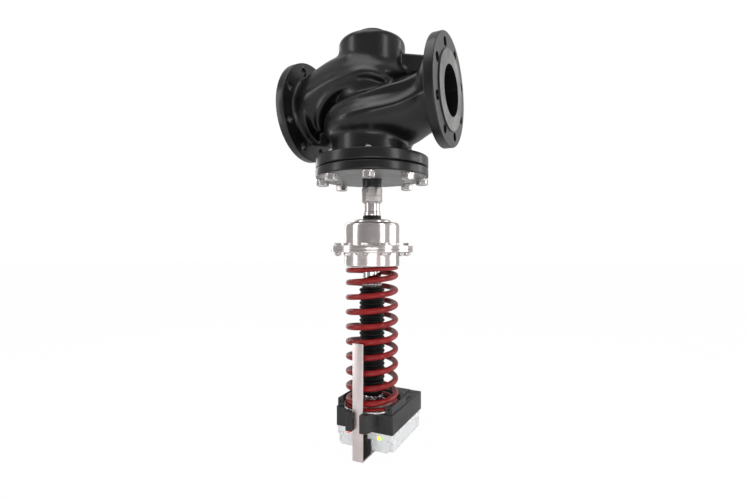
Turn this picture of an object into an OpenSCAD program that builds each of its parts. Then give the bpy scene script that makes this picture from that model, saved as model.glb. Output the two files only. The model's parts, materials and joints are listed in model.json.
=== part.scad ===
// Differential pressure regulator: a flanged globe valve with a diaphragm actuator
// and a motorised setting unit hanging below it.
// X runs along the pipe, from the inlet face to the outlet face. Z is up.
// The origin is the centre of the inlet's raised face.
// The spindle axis is half the face-to-face length further along X.

/* [Pipe flanges] */
// Distance between the two raised faces
face_to_face = 350; // [330:5:380]
// Bore of both ports
port_bore = 100; // [92:1:102]
// Thickness of a flange behind its raised face
flange_t = 19; // [15:1:24]
// Diameter of the raised face
face_d = 158; // [146:1:160]
// Height of the raised face
face_h = 3; // [2:0.5:4]
// Diameter of the bolt circle of a pipe flange
flange_pcd = 180; // [178:1:192]
// Distance from the bolt circle of a pipe flange to its rim
flange_edge = 20; // [17:1:26]
// Diameter of a flange bolt hole
flange_hole_d = 19; // [14:1:20]
// Number of flange bolt holes
flange_holes = 8; // [4:4:8]

/* [Valve body] */
// Outside diameter of a passage where it meets the flange hub
port_od = 125; // [120:1:130]
// Outside diameter of the hub at the back of a flange
hub_od = 140; // [134:1:146]
// Length of the hub's taper
hub_len = 16; // [10:1:20]
// Outside diameter of the dome
dome_od = 142; // [138:1:150]
// Height of the dome above the pipe axis
dome_h = 130; // [124:1:140]
// Radius of the dome's upper edge
dome_edge = 11; // [6:1:14]
// Diameter of the boss on the dome
boss_od = 64; // [50:1:70]
// Height of the boss above the dome
boss_h = 18; // [12:1:24]
// Thickness of the casting round the chambers
body_wall = 11; // [9:0.5:12]
// Diameter of the flared skirt under the dome
skirt_od = 164; // [158:1:170]
// Height of the skirt's lower edge above the pipe axis
skirt_z = 34; // [28:1:40]
// Largest diameter of the lower chamber
chamber_od = 208; // [202:1:214]
// Depth below the pipe axis of the upper edge of the lower chamber's belly
belly_top = 45; // [40:1:50]
// Height of the belly's widest band
belly_h = 26; // [20:1:30]
// Diameter of the opening that the cover closes
neck_bore = 152; // [146:1:156]
// Wall of the neck above the body flange
neck_wall = 9; // [8:0.5:10]
// Thickness of the two webs beside the dome and the neck
web_t = 14; // [8:1:20]

/* [Seat and plug] */
// Thickness of the wall between the two chambers
seat_wall = 24; // [20:1:26]
// Bore of the seat ring
seat_bore = 84; // [76:1:88]
// Lift of the plug from open to closed
valve_lift = 15; // [10:1:15]
// Diameter of the stem
stem_d = 14; // [12:0.5:15]
// Thickness of the plug's disc
plug_t = 14; // [12:1:18]

/* [Cover and bolts] */
// Distance from the pipe axis down to the body flange
neck_drop = 120; // [118:1:126]
// Thickness of the body flange
body_flange_t = 22; // [18:1:26]
// Thickness of the gasket
gasket_t = 1.5; // [1:0.25:2]
// Thickness of the cover
cover_t = 19.5; // [17:0.5:24]
// Distance from the neck's outside to the cover's bolt circle
cover_bolt_room = 22; // [20:0.5:24]
// Distance from the cover's bolt circle to its rim
cover_edge = 13.5; // [12:0.5:16]
// Number of cover bolts
cover_bolt_count = 8; // [6:2:8]
// Thread diameter of the cover bolts
cover_bolt_d = 16; // [12:1:18]

/* [Union] */
// Diameter of the stub under the cover
stub_d = 41; // [40.5:0.5:46]
// Length of the stub
stub_len = 17; // [13:1:22]
// Size across the flats of the eight-sided union nut
union_af = 46; // [45:0.5:50]
// Height of the union nut
union_h = 33; // [30:1:38]
// Diameter of the thread under the union nut
union_thread_d = 39; // [38:0.25:39.5]
// Diameter of the actuator's neck tube
neck_tube_d = 33; // [31:0.5:34]
// Length of the neck tube below the union nut
neck_tube_len = 19; // [15:1:24]
// Diameter of the neck's collar
collar_d = 36.5; // [35:0.5:38]
// Height of the collar
collar_h = 9; // [7:0.5:12]
// Diameter of the rubber ring under the collar
neck_ring_d = 39; // [37.5:0.5:42]
// Height of the rubber ring
neck_ring_h = 9; // [7:0.5:12]

/* [Diaphragm casing] */
// Diameter of the raised ring on the casing
top_ring_d = 82; // [74:1:86]
// Height of the raised ring
top_ring_h = 6; // [4:0.5:8]
// Outside diameter of the two casing pots
casing_d = 117.4; // [116.6:0.2:120]
// Radius of the upper pot's shoulder
shoulder_r = 8; // [6:0.5:10]
// Height of the upper pot above its flange
upper_pot_h = 49; // [45:1:56]
// Thickness of one clamped flange
clamp_t = 5.5; // [5:0.25:7]
// Thickness of the diaphragm
diaphragm_t = 3; // [2:0.5:3]
// Height of the lower pot below its flange
lower_pot_h = 30; // [29:1:36]
// Thickness of the casing's sheet
casing_wall = 3; // [2:0.25:3.5]
// Distance from the pot's outside to the casing's bolt circle
casing_bolt_room = 17.3; // [16.5:0.1:19]
// Distance from the casing's bolt circle to the rim of the clamped flanges
clamp_edge = 11.5; // [10.5:0.5:14]
// Number of casing bolts
casing_bolt_count = 12; // [6:2:14]
// Thread diameter of the casing bolts
casing_bolt_d = 8; // [6:0.5:9]

/* [Spindle and setting spring] */
// Diameter of the chromed sleeve under the casing
sleeve_d = 40; // [38:0.5:42]
// Length of the sleeve that shows
sleeve_len = 28; // [24:1:34]
// Diameter of the adjusting spindle
spindle_d = 18; // [16:0.5:20]
// Diameter of the ball ring, over its balls
ball_ring_d = 45; // [44:0.2:47]
// Diameter of one ball
ball_d = 5.6; // [5:0.1:6]
// Number of balls
ball_count = 18; // [14:1:20]
// Length of the bellows
bellows_len = 231; // [224:1:240]
// Diameter of the bellows over its ribs
bellows_d = 54.6; // [52:0.2:58]
// Diameter of the bellows between its ribs
bellows_root_d = 42.8; // [41:0.2:45]
// Number of ribs
bellows_ribs = 24; // [16:1:28]
// Wall of the bellows
bellows_wall = 1.6; // [1:0.1:2]
// Outside diameter of the setting spring
spring_od = 113; // [110:0.5:115]
// Wire diameter of the setting spring
spring_wire = 12; // [10:0.5:12.5]
// Turns of the setting spring, with its closed ends
spring_turns = 10.94; // [9:0.01:11]
// Distance that the setting unit climbs on the spindle
setting_travel = 100; // [60:5:100]

/* [Setting unit] */
// How far the lower spring plate reaches past the spring
plate_margin = 5; // [4:0.5:5.5]
// How far the housing reaches past the spring plate, to each side
unit_margin = 4; // [3.5:0.5:8]
// Distance from the spindle axis to the housing's front
unit_front = 40; // [38:1:44]
// Distance from the spindle axis to the housing's back
unit_back = 131; // [126:1:140]
// Height of the lower housing
unit_h = 40; // [38:1:46]
// Height of the deck above the lower housing
deck_h = 17; // [14:1:20]
// How far the deck stands in from the housing
deck_inset = 2; // [1:0.25:2.5]
// Wall of the housing and the deck
unit_wall = 3; // [2.5:0.25:3.5]
// Height of the clear cover
clear_h = 37; // [36:1:44]
// Wall of the clear cover
clear_wall = 2.5; // [2:0.25:3]
// Distance from the spindle axis to the tip of the nose
nose_front = 76; // [75:0.5:80]
// Width of the nose at its tip
nose_w = 45; // [42:1:50]
// Width of the nose where it meets the housing
nose_root_w = 70; // [64:1:76]
// Height of the nose
nose_h = 36; // [32:1:40]
// Width of the slot in the nose
nose_slot_w = 17.6; // [14:0.2:20]
// Number of teeth on the adjusting nut
nut_teeth = 48; // [44:2:50]
// Number of teeth on the motor's pinion
pinion_teeth = 12; // [10:1:14]
// Gear module
gear_module = 1.25; // [1.15:0.05:1.25]

/* [Guide strip] */
// Width of the strip
strip_w = 23.5; // [20:0.5:26]
// Thickness of the strip
strip_t = 2.5; // [2:0.25:2.5]
// Distance from the spindle axis to the strip's front face
strip_front = 66; // [65.5:0.1:66.5]
// Length of strip left above the nose when the setting unit is at its highest
strip_spare = 39.3; // [20:0.1:50]

/* [Hidden] */
// Radial clearance of a sliding or turning fit
run_fit = 0.05;
// Radial clearance of a piece fixed in its hole
fixed_fit = 0.1;
// Gap between a moving piece and its stop
stop_gap = 0.3;
// Clearance of a bolt in its hole
bolt_play = 0.5;
// Overrun of every cut
cut = 1;
$fn = 64;
// Sides of the rounds that a hull joins
hull_sides = 32;

// Places along the pipe
axis_x = face_to_face / 2;
flange_back = axis_x - face_h - flange_t;
hub_end = flange_back - hub_len;
// Places of the passages, as shares of the distance to the flange's back
passage_in_share = 0.9;
passage_end_share = 0.33;
passage_root_share = 0.69;
// Play that keeps a passage's mouth inside the bore
mouth_play = 0.3;
mouth_t = 1;

// Diameters that follow the piece inside them
flange_od = flange_pcd + 2 * flange_edge;
neck_od = neck_bore + 2 * neck_wall;
cover_pcd = neck_od + 2 * cover_bolt_room;
cover_od = cover_pcd + 2 * cover_edge;
casing_pcd = casing_d + 2 * casing_bolt_room;
clamp_d = casing_pcd + 2 * clamp_edge;
plate_d = spring_od + 2 * plate_margin;
unit_w = plate_d + 2 * unit_margin;

// Heights of the valve
partition = seat_wall / 2;
dome_floor = dome_h - body_wall;
belly_bottom = belly_top + belly_h;
chamber_top = belly_top * 0.25;
chamber_top_share = 0.8;
neck_top = (belly_bottom + neck_drop) / 2;
body_flange_bottom = -neck_drop - body_flange_t;
cover_top = body_flange_bottom - gasket_t;
cover_bottom = cover_top - cover_t;
spigot_h = cover_t * 0.3;
stub_end = cover_bottom - stub_len;
union_end = stub_end - union_h;
thread_end = stub_end - union_h * 0.6;
head_end = thread_end - union_h * 0.18;
tube_end = union_end - neck_tube_len;
collar_end = tube_end - collar_h;
ring_end = collar_end - neck_ring_h;

// Heights of the actuator
pot_top = ring_end - top_ring_h;
clamp_top = pot_top - upper_pot_h;
clamp_mid = clamp_top - clamp_t;
clamp_low = clamp_mid - diaphragm_t;
clamp_end = clamp_low - clamp_t;
pot_end = clamp_end - lower_pot_h;
pot_floor = pot_end + casing_wall * 1.33;
plate_t = 3;
plate_rise = 19;
lower_plate_z = pot_end + plate_rise;
boss_top = lower_plate_z - plate_t;
sleeve_end = pot_end - sleeve_len;
spacer_h = 6;
race_t = 1.2;
cage_h = ball_d + 2 * race_t + 2 * run_fit;
cage_top = sleeve_end - spacer_h;
cage_end = cage_top - cage_h;
bellows_top = cage_end - fixed_fit;
bellows_end = bellows_top - bellows_len;

// Heights of the setting unit
nut_top = bellows_end - stop_gap;
nut_lip_h = 2.5;
nut_ring_h = 7;
nut_ring_end = nut_top - nut_lip_h - nut_ring_h;
plate_sheet = 2;
plate_hub_h = 9.3;
plate_rim_h = 1.3;
hub_clearance = 1.7;
plate_seat = nut_ring_end - hub_clearance - plate_hub_h - plate_sheet;
plate_face = plate_seat + plate_sheet;
pad_h = 2.7;
unit_top = plate_seat - pad_h;
deck_top = unit_top + deck_h;
unit_bottom = unit_top - unit_h;
clear_bottom = unit_bottom - clear_h;
nose_top = plate_face;
nose_bottom = nose_top - nose_h;
foot_drop = 14;
foot_top = clear_bottom - foot_drop;
foot_bottom = foot_top - strip_t;
strip_top = nose_top + setting_travel + strip_spare;

// Radii shared by several pieces
stem_r = stem_d / 2;
seat_bore_r = seat_bore / 2;
seat_ring_wall = 8;
seat_lip = 4;
seat_lip_h = 3;
gland_wall = 5;
gland_r = stem_r + gland_wall;
sleeve_r = sleeve_d / 2;
sleeve_bush_wall = 5;
sleeve_bush_r = sleeve_r + sleeve_bush_wall;
spindle_r = spindle_d / 2;
spigot_r = neck_tube_d / 2 * 0.85;
casing_r = casing_d / 2;
diaphragm_plate_r = casing_r * 0.84;
nut_body_r = 19.5;
nut_ring_r = 24;
plate_hub_r = nut_ring_r + hub_clearance;
plate_hub_wall = 3;
plate_r = plate_d / 2;
plate_play = 0.5;
unit_half = unit_w / 2;
clear_inset = 2.5;
clear_half = unit_half - clear_inset;
clear_back_inset = 2;
clear_back = unit_back - clear_back_inset;

// Puts a piece that is drawn about the spindle axis at its place along the pipe
module place() {
    translate([axis_x, 0, 0]) children();
}

module rod(z0, z1, r) {
    translate([0, 0, z0]) cylinder(h = z1 - z0, r = r);
}

module tube(z0, z1, r_out, r_in) {
    difference() {
        rod(z0, z1, r_out);
        rod(z0 - cut, z1 + cut, r_in);
    }
}

module box(x0, x1, y0, y1, z0, z1) {
    translate([x0, y0, z0]) cube([x1 - x0, y1 - y0, z1 - z0]);
}

// A round plate whose upper edge is rounded by e
module domed_rod(z0, z1, r, e) {
    rotate_extrude() {
        translate([0, z0]) square([r, z1 - z0 - e]);
        translate([0, z0]) square([r - e, z1 - z0]);
        intersection() {
            translate([r - e, z1 - e]) circle(r = e);
            translate([0, z0]) square([r, z1 - z0]);
        }
    }
}

// Copies a piece round the Z axis
module around(count, radius, start = 0) {
    for (i = [0 : count - 1])
        rotate([0, 0, start + i * 360 / count]) translate([radius, 0, 0]) children();
}

// A six-sided prism across flats
module hexagon(z0, z1, across) {
    translate([0, 0, z0]) cylinder(h = z1 - z0, r = across / 2 / cos(30), $fn = 6);
}

// A disc that stands across the pipe at x, for the ends of the passages
module pipe_disc(x, r, t, z = 0) {
    translate([x, 0, z]) rotate([0, 90, 0]) cylinder(h = t, r = r, $fn = hull_sides);
}

// A rectangle with round corners, in plan
module rounded_plan(x0, x1, y0, y1, r) {
    translate([x0 + r, y0]) square([x1 - x0 - 2 * r, y1 - y0]);
    translate([x0, y0 + r]) square([x1 - x0, y1 - y0 - 2 * r]);
    for (x = [x0 + r, x1 - r], y = [y0 + r, y1 - r])
        translate([x, y]) circle(r = r);
}

module rounded_block(x0, x1, y0, y1, z0, z1, r) {
    translate([0, 0, z0]) linear_extrude(z1 - z0) rounded_plan(x0, x1, y0, y1, r);
}

// Valve body

module pipe_flange() {
    translate([hub_end, 0, 0]) rotate([0, 90, 0]) {
        cylinder(h = hub_len, r1 = port_od / 2, r2 = hub_od / 2);
        translate([0, 0, hub_len]) cylinder(h = flange_t, r = flange_od / 2);
        translate([0, 0, hub_len]) cylinder(h = flange_t + face_h, r = face_d / 2);
    }
}

module flange_holes() {
    hole_turn = 180 / flange_holes;
    rotate([0, 90, 0]) around(flange_holes, flange_pcd / 2, hole_turn)
        rod(flange_back - cut, axis_x + cut, flange_hole_d / 2);
}

// The passage that rises from the inlet into the skirt under the dome
module upper_form() {
    x = flange_back * passage_root_share;
    skirt_band = dome_edge;
    crease_z = skirt_z + 4 * skirt_band;
    shoulder_r = dome_od / 2 - body_wall - mouth_t;
    mirror([1, 0, 0]) hull() {
        pipe_disc(hub_end, port_od / 2, mouth_t, body_wall);
        pipe_disc(x, port_od / 2 + mouth_t, mouth_t, skirt_z);
        pipe_disc(dome_od / 2 - body_wall, shoulder_r, mouth_t, crease_z - 2 * skirt_band);
        translate([0, 0, crease_z])
            cylinder(h = mouth_t, r = dome_od / 2 + mouth_t, $fn = hull_sides);
    }
    hull() {
        mirror([1, 0, 0]) pipe_disc(x, port_od / 2, mouth_t);
        translate([0, 0, skirt_z]) cylinder(h = skirt_band, r = skirt_od / 2, $fn = hull_sides);
        translate([0, 0, crease_z])
            cylinder(h = mouth_t, r = dome_od / 2 + mouth_t, $fn = hull_sides);
    }
}

// The passage that falls from the outlet into the belly of the lower chamber
module lower_form() {
    x = flange_back * passage_root_share;
    drop = seat_wall * 0.85;
    hull() {
        pipe_disc(hub_end, port_od / 2, mouth_t);
        pipe_disc(x, port_od / 2, mouth_t, -drop);
    }
    hull() {
        pipe_disc(x, port_od / 2, mouth_t, -drop);
        pipe_disc(dome_od / 2 + body_wall, port_od / 2 - mouth_t, mouth_t, -1.5 * drop);
        translate([0, 0, -chamber_top])
            cylinder(h = mouth_t, r = chamber_od / 2 * chamber_top_share, $fn = hull_sides);
        translate([0, 0, -belly_bottom])
            cylinder(h = belly_h, r = chamber_od / 2, $fn = hull_sides);
        translate([0, 0, -neck_top])
            cylinder(h = mouth_t, r = neck_od / 2 + mouth_t, $fn = hull_sides);
    }
}

// One curved water way, from a port's bore to the chamber that it feeds
module water_way() {
    mouth = flange_back * passage_in_share;
    end_x = flange_back * passage_end_share;
    end_r = port_bore * 0.34;
    hull() {
        pipe_disc(mouth, port_bore / 2 - mouth_play, mouth_t);
        translate([end_x, 0, -belly_bottom])
            cylinder(h = belly_bottom - 2.5 * partition, r = end_r, $fn = hull_sides);
    }
}

module chambers() {
    lower_r = chamber_od / 2 - body_wall;
    mouth_r = seat_bore_r + seat_ring_wall + seat_lip * 1.5;
    rod(partition, dome_floor, dome_od / 2 - body_wall);
    rotate_extrude() polygon([[0, -partition], [mouth_r, -partition], [lower_r, -belly_top],
        [lower_r, -belly_bottom], [neck_bore / 2, -neck_top],
        [neck_bore / 2, body_flange_bottom - cut], [0, body_flange_bottom - cut]]);
    rod(-partition - cut, partition + cut, seat_bore_r + seat_ring_wall);
}

module webs() {
    top = dome_h * 0.73;
    side = dome_h * 0.585;
    low = port_od * 0.3;
    for (turn = [0, 180])
        rotate([0, turn, 0]) rotate([90, 0, 0]) translate([0, 0, -web_t / 2])
            linear_extrude(web_t) polygon([[dome_od / 2 - body_wall / 2, top],
                [flange_back + face_h, side], [flange_back + face_h, low],
                [dome_od / 2 - body_wall / 2, low]]);
}

module valve_body() {
    waist_r = dome_od / 2 + face_h;
    color([0.19, 0.19, 0.2]) place() difference() {
        union() {
            pipe_flange();
            mirror([1, 0, 0]) pipe_flange();
            translate([-hub_end, 0, 0]) rotate([0, 90, 0])
                cylinder(h = 2 * hub_end, r = port_od / 2 - mouth_t);
            domed_rod(skirt_z, dome_h, dome_od / 2, dome_edge);
            domed_rod(dome_floor, dome_h + boss_h, boss_od / 2, dome_edge / 2);
            rod(-belly_top, skirt_z + mouth_t, waist_r);
            upper_form();
            lower_form();
            webs();
            rod(-neck_drop, -belly_bottom, neck_od / 2);
            rod(body_flange_bottom, -neck_drop, cover_od / 2);
        }
        for (turn = [0, 180]) rotate([0, turn, 0]) {
            translate([flange_back * passage_in_share, 0, 0]) rotate([0, 90, 0])
                cylinder(h = axis_x, r = port_bore / 2);
            water_way();
            flange_holes();
        }
        chambers();
        around(cover_bolt_count, cover_pcd / 2, 180 / cover_bolt_count)
            rod(body_flange_bottom - cut, -neck_drop + cut, cover_bolt_d / 2 + fixed_fit);
    }
}

module seat_ring() {
    ring_r = seat_bore_r + seat_ring_wall;
    color([0.72, 0.7, 0.66]) place() difference() {
        union() {
            rod(-partition, partition, ring_r - fixed_fit);
            rod(-partition - seat_lip_h, -partition, ring_r + seat_lip);
        }
        rod(-partition - seat_lip_h - cut, partition + cut, seat_bore_r);
    }
}

// Cover, gland and union

module cover_holes(play) {
    around(cover_bolt_count, cover_pcd / 2, 180 / cover_bolt_count)
        rod(cover_bottom - cut, cover_top + gasket_t + cut, cover_bolt_d / 2 + play);
}

module cover_gasket() {
    color([0.1, 0.1, 0.1]) place() difference() {
        tube(cover_top, body_flange_bottom, cover_od / 2 - gasket_t, neck_bore / 2);
        cover_holes(bolt_play);
    }
}

module bonnet_cover() {
    color([0.2, 0.2, 0.21]) place() difference() {
        union() {
            rod(cover_bottom, cover_top, cover_od / 2);
            rod(cover_top, cover_top + spigot_h, neck_bore / 2 - bolt_play);
            rod(stub_end, cover_bottom, stub_d / 2);
            rod(thread_end, stub_end, union_thread_d / 2);
        }
        rod(thread_end - cut, cover_top + spigot_h + cut, gland_r);
        cover_holes(bolt_play);
    }
}

bolt_head_h = cover_bolt_d * 0.63;
bolt_af = cover_bolt_d * 1.5;
washer_t = 3;
bolt_tip = 6;

module cover_bolts() {
    head_top = cover_bottom - washer_t;
    color([0.8, 0.79, 0.78]) place()
        around(cover_bolt_count, cover_pcd / 2, 180 / cover_bolt_count) {
            hexagon(head_top - bolt_head_h, head_top, bolt_af);
            rod(head_top, -neck_drop + bolt_tip, cover_bolt_d / 2);
        }
}

module cover_washers() {
    color([0.78, 0.77, 0.76]) place()
        around(cover_bolt_count, cover_pcd / 2, 180 / cover_bolt_count)
            tube(cover_bottom - washer_t, cover_bottom, cover_bolt_d * 0.9,
                cover_bolt_d / 2 + fixed_fit);
}

gland_top = cover_top + spigot_h;
seal_top = gland_top - cover_t;
seal_bottom = seal_top - cover_t * 0.9;

module stem_bushes() {
    color([0.7, 0.55, 0.28]) place() {
        tube(seal_top, gland_top, gland_r - fixed_fit, stem_r + run_fit);
        tube(thread_end, seal_bottom, gland_r - fixed_fit, stem_r + run_fit);
    }
}

module stem_seal() {
    color([0.08, 0.08, 0.08]) place()
        tube(seal_bottom, seal_top, gland_r - fixed_fit, stem_r + run_fit);
}

module union_nut() {
    color([0.74, 0.72, 0.7]) place() difference() {
        translate([0, 0, union_end])
            cylinder(h = union_h, r = union_af / 2 / cos(22.5), $fn = 8);
        rod(head_end, stub_end + cut, union_thread_d / 2 + fixed_fit);
        rod(union_end - cut, stub_end, neck_tube_d / 2 + fixed_fit);
    }
}

module actuator_neck() {
    bore = stem_r + cut;
    color([0.8, 0.79, 0.78]) place() difference() {
        union() {
            rod(head_end, thread_end, union_thread_d / 2 - fixed_fit);
            rod(tube_end, head_end, neck_tube_d / 2);
            rod(collar_end, tube_end, collar_d / 2);
            rod(lock_nut_end - cut, collar_end, spigot_r);
        }
        rod(lock_nut_end - 2 * cut, thread_end + cut, bore);
    }
}

module neck_ring() {
    color([0.06, 0.06, 0.06]) place()
        tube(ring_end, collar_end, neck_ring_d / 2, spigot_r + fixed_fit);
}

lock_nut_h = 6;
lock_nut_end = pot_top - casing_wall - lock_nut_h;

module neck_lock_nut() {
    color([0.75, 0.74, 0.73]) place() difference() {
        hexagon(lock_nut_end, pot_top - casing_wall, spigot_r * 2.8);
        rod(lock_nut_end - cut, pot_top, spigot_r + fixed_fit);
    }
}

// Diaphragm casing

module casing_holes() {
    around(casing_bolt_count, casing_pcd / 2, 180 / casing_bolt_count)
        rod(clamp_end - cut, clamp_top + cut, casing_bolt_d / 2 + bolt_play / 2);
}

port_r = 4.3;
fitting_r = 8;
fitting_wall = 1.2;
fitting_reach_share = 0.55;
fitting_len = (clamp_d - casing_d) / 2 * fitting_reach_share;
fitting_spigot_r = port_r + fitting_wall;
upper_port_z = (pot_top - shoulder_r + clamp_top) / 2;
lower_port_z = clamp_end - lower_pot_h * 0.47;

module port_holes(z) {
    translate([0, casing_r - casing_wall * 3, z]) rotate([-90, 0, 0])
        cylinder(h = casing_wall * 5, r = fitting_spigot_r + fixed_fit);
}

module upper_casing() {
    color([0.78, 0.76, 0.75]) place() difference() {
        union() {
            domed_rod(clamp_mid, pot_top, casing_r, shoulder_r);
            domed_rod(pot_top - casing_wall, ring_end, top_ring_d / 2, top_ring_h / 2);
            rod(clamp_mid, clamp_top, clamp_d / 2);
        }
        domed_rod(clamp_mid - cut, pot_top - casing_wall, casing_r - casing_wall,
            shoulder_r - casing_wall);
        rod(pot_top - 2 * casing_wall, ring_end + cut, spigot_r + fixed_fit);
        casing_holes();
        port_holes(upper_port_z);
    }
}

module lower_casing() {
    boss_r = sleeve_bush_r + 2 * casing_wall;
    inner_z = clamp_low;
    color([0.78, 0.76, 0.75]) place() difference() {
        union() {
            difference() {
                union() {
                    mirror([0, 0, 1]) domed_rod(-clamp_low, -pot_end, casing_r,
                        casing_wall * 2);
                    rod(clamp_end, inner_z, clamp_d / 2);
                }
                rod(pot_floor, inner_z + cut, casing_r - casing_wall);
            }
            rod(pot_floor - fixed_fit, boss_top - casing_wall, boss_r);
        }
        rod(pot_end - cut, boss_top, sleeve_bush_r);
        casing_holes();
        port_holes(lower_port_z);
    }
}

casing_head_h = casing_bolt_d * 0.7;
casing_af = casing_bolt_d * 1.625;
casing_nut_h = casing_bolt_d * 0.8;

module casing_bolts() {
    color([0.8, 0.79, 0.78]) place()
        around(casing_bolt_count, casing_pcd / 2, 180 / casing_bolt_count) {
            hexagon(clamp_top, clamp_top + casing_head_h, casing_af);
            rod(clamp_end - casing_nut_h * 1.25, clamp_top, casing_bolt_d / 2);
        }
}

module casing_nuts() {
    color([0.78, 0.77, 0.76]) place()
        around(casing_bolt_count, casing_pcd / 2, 180 / casing_bolt_count) difference() {
            hexagon(clamp_end - casing_nut_h, clamp_end, casing_af);
            rod(clamp_end - casing_nut_h - cut, clamp_end + cut, casing_bolt_d / 2 + fixed_fit);
        }
}

sleeve_seal_h = 4;

module sleeve_bush() {
    color([0.7, 0.55, 0.28]) place()
        tube(pot_end, boss_top - casing_wall - sleeve_seal_h, sleeve_bush_r - fixed_fit,
            sleeve_r + run_fit);
}

module sleeve_seal() {
    color([0.08, 0.08, 0.08]) place()
        tube(boss_top - casing_wall - sleeve_seal_h, boss_top - casing_wall,
            sleeve_bush_r - fixed_fit, sleeve_r + run_fit);
}

module impulse_fittings() {
    color([0.72, 0.6, 0.35]) place()
        for (z = [upper_port_z, lower_port_z])
            translate([0, casing_r, z]) rotate([-90, 0, 0]) difference() {
                union() {
                    cylinder(h = fitting_len, r = fitting_r);
                    translate([0, 0, -casing_wall])
                        cylinder(h = casing_wall + cut, r = fitting_spigot_r);
                }
                translate([0, 0, -casing_wall - cut])
                    cylinder(h = fitting_len + casing_wall + 2 * cut, r = port_r);
                curved_seat();
            }
}

// The hollow that lets a fitting sit on the round casing
module curved_seat() {
    difference() {
        translate([0, 0, -casing_wall * 1.5])
            tube(0, casing_wall * 1.5 + fitting_r * fitting_r / casing_r, fitting_r + cut,
                fitting_spigot_r);
        translate([0, 0, -casing_r]) rotate([90, 0, 0])
            tube(-2 * fitting_r, 2 * fitting_r, casing_r * 1.5, casing_r);
    }
}

// A rolled rubber sheet, clamped at its rim and at the plates
module diaphragm() {
    rim_r = clamp_d / 2 - diaphragm_t / 2;
    roll_r = casing_r - casing_wall - bolt_play;
    mid = lower_plate_z;
    color([0.12, 0.12, 0.12]) place() difference() {
        rotate_extrude() polygon([[stem_r + fixed_fit, mid],
            [diaphragm_plate_r + bolt_play, mid], [roll_r, clamp_low],
            [rim_r, clamp_low], [rim_r, clamp_mid],
            [roll_r - diaphragm_t, clamp_mid],
            [diaphragm_plate_r - diaphragm_t / 2, mid + diaphragm_t * 0.66],
            [stem_r + fixed_fit, mid + diaphragm_t * 0.66]]);
        casing_holes();
    }
}

// Plug and stem

plug_top = -partition - seat_lip_h - valve_lift - stop_gap;
plug_seal_t = 3;
plug_seal_z = plug_top - plug_seal_t;
plug_play = 1;
plug_spigot_r = seat_bore_r - plug_play;
plug_spigot_h = 8;
plug_nut_h = 10;
plug_spigot_top = plug_top + plug_spigot_h;
stem_top = plug_spigot_top + plug_nut_h * 1.1;

module valve_plug() {
    disc_r = seat_bore_r + seat_ring_wall + run_fit;
    hub_r = stem_r * 2.2;
    color([0.62, 0.61, 0.6]) place() difference() {
        union() {
            rod(plug_seal_z, plug_spigot_top, plug_spigot_r);
            rod(plug_seal_z - plug_t, plug_seal_z, disc_r);
            rod(plug_seal_z - 2 * plug_t, plug_seal_z - plug_t, hub_r);
        }
        rod(plug_seal_z - 2 * plug_t - cut, plug_spigot_top + cut, stem_r + fixed_fit);
    }
}

module plug_seal() {
    color([0.1, 0.1, 0.1]) place()
        tube(plug_seal_z, plug_top, seat_bore_r + seat_ring_wall - run_fit,
            plug_spigot_r + fixed_fit);
}

module plug_nut() {
    color([0.75, 0.74, 0.73]) place() difference() {
        hexagon(plug_spigot_top, plug_spigot_top + plug_nut_h, stem_d * 1.6);
        rod(plug_spigot_top - cut, stem_top + cut, stem_r + fixed_fit);
    }
}

stem_end = boss_top - sleeve_bush_wall * 3;

module valve_stem() {
    color([0.82, 0.81, 0.8]) place() rod(stem_end, stem_top, stem_r);
}

module diaphragm_plate_upper() {
    z = lower_plate_z + diaphragm_t * 0.66;
    color([0.7, 0.7, 0.7]) place()
        tube(z, z + plate_t, diaphragm_plate_r - diaphragm_t, stem_r + fixed_fit);
}

module diaphragm_plate_lower() {
    color([0.7, 0.7, 0.7]) place()
        tube(lower_plate_z - plate_t, lower_plate_z, diaphragm_plate_r, stem_r + fixed_fit);
}

module plate_nut() {
    z = lower_plate_z + diaphragm_t * 0.66 + plate_t;
    nut_h = stem_r * 1.2;
    color([0.75, 0.74, 0.73]) place() difference() {
        hexagon(z, z + nut_h, stem_d * 1.6);
        rod(z - cut, z + nut_h + cut, stem_r + fixed_fit);
    }
}

// Sleeve, spindle and thrust ring

spindle_socket = 20;

module spindle_sleeve() {
    color([0.8, 0.8, 0.82]) place() difference() {
        rod(sleeve_end, boss_top, sleeve_r);
        rod(stem_end - cut, boss_top + cut, stem_r + fixed_fit);
        rod(sleeve_end - cut, sleeve_end + spindle_socket, spindle_r + fixed_fit);
    }
}

module spindle_spacer() {
    color([0.75, 0.75, 0.76]) place()
        tube(cage_top, sleeve_end, sleeve_r * 0.75, spindle_r + fixed_fit);
}

ball_circle_r = (ball_ring_d - ball_d) / 2;
ball_z = (cage_top + cage_end) / 2;

// A spool with a flange above and below the balls
module ball_cage() {
    flange_r = ball_circle_r + ball_d * 0.2;
    core_r = ball_circle_r - ball_d / 2 - run_fit;
    color([0.72, 0.72, 0.73]) place() difference() {
        union() {
            rod(cage_end, cage_end + race_t, flange_r);
            rod(cage_end, cage_top, core_r);
            rod(cage_top - race_t, cage_top, flange_r);
        }
        rod(cage_end - cut, cage_top + cut, spindle_r + fixed_fit);
    }
}

module bearing_balls() {
    color([0.85, 0.85, 0.86]) place() around(ball_count, ball_circle_r)
        translate([0, 0, ball_z]) sphere(d = ball_d, $fn = 24);
}

module adjusting_spindle() {
    color([0.7, 0.7, 0.71]) place() difference() {
        rod(foot_top, sleeve_end + spindle_socket - fixed_fit, spindle_r);
        rod(foot_top - cut, foot_top + screw_len, screw_r + fixed_fit);
    }
}

// Bellows: a ribbed tube with its bore

function rib_size(i) = i < bellows_ribs - 3 ? 1 : 1 - 0.22 * (i - bellows_ribs + 4);
collar_len = 4;
rib_pitch = (bellows_len - 2 * collar_len) / bellows_ribs;

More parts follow.
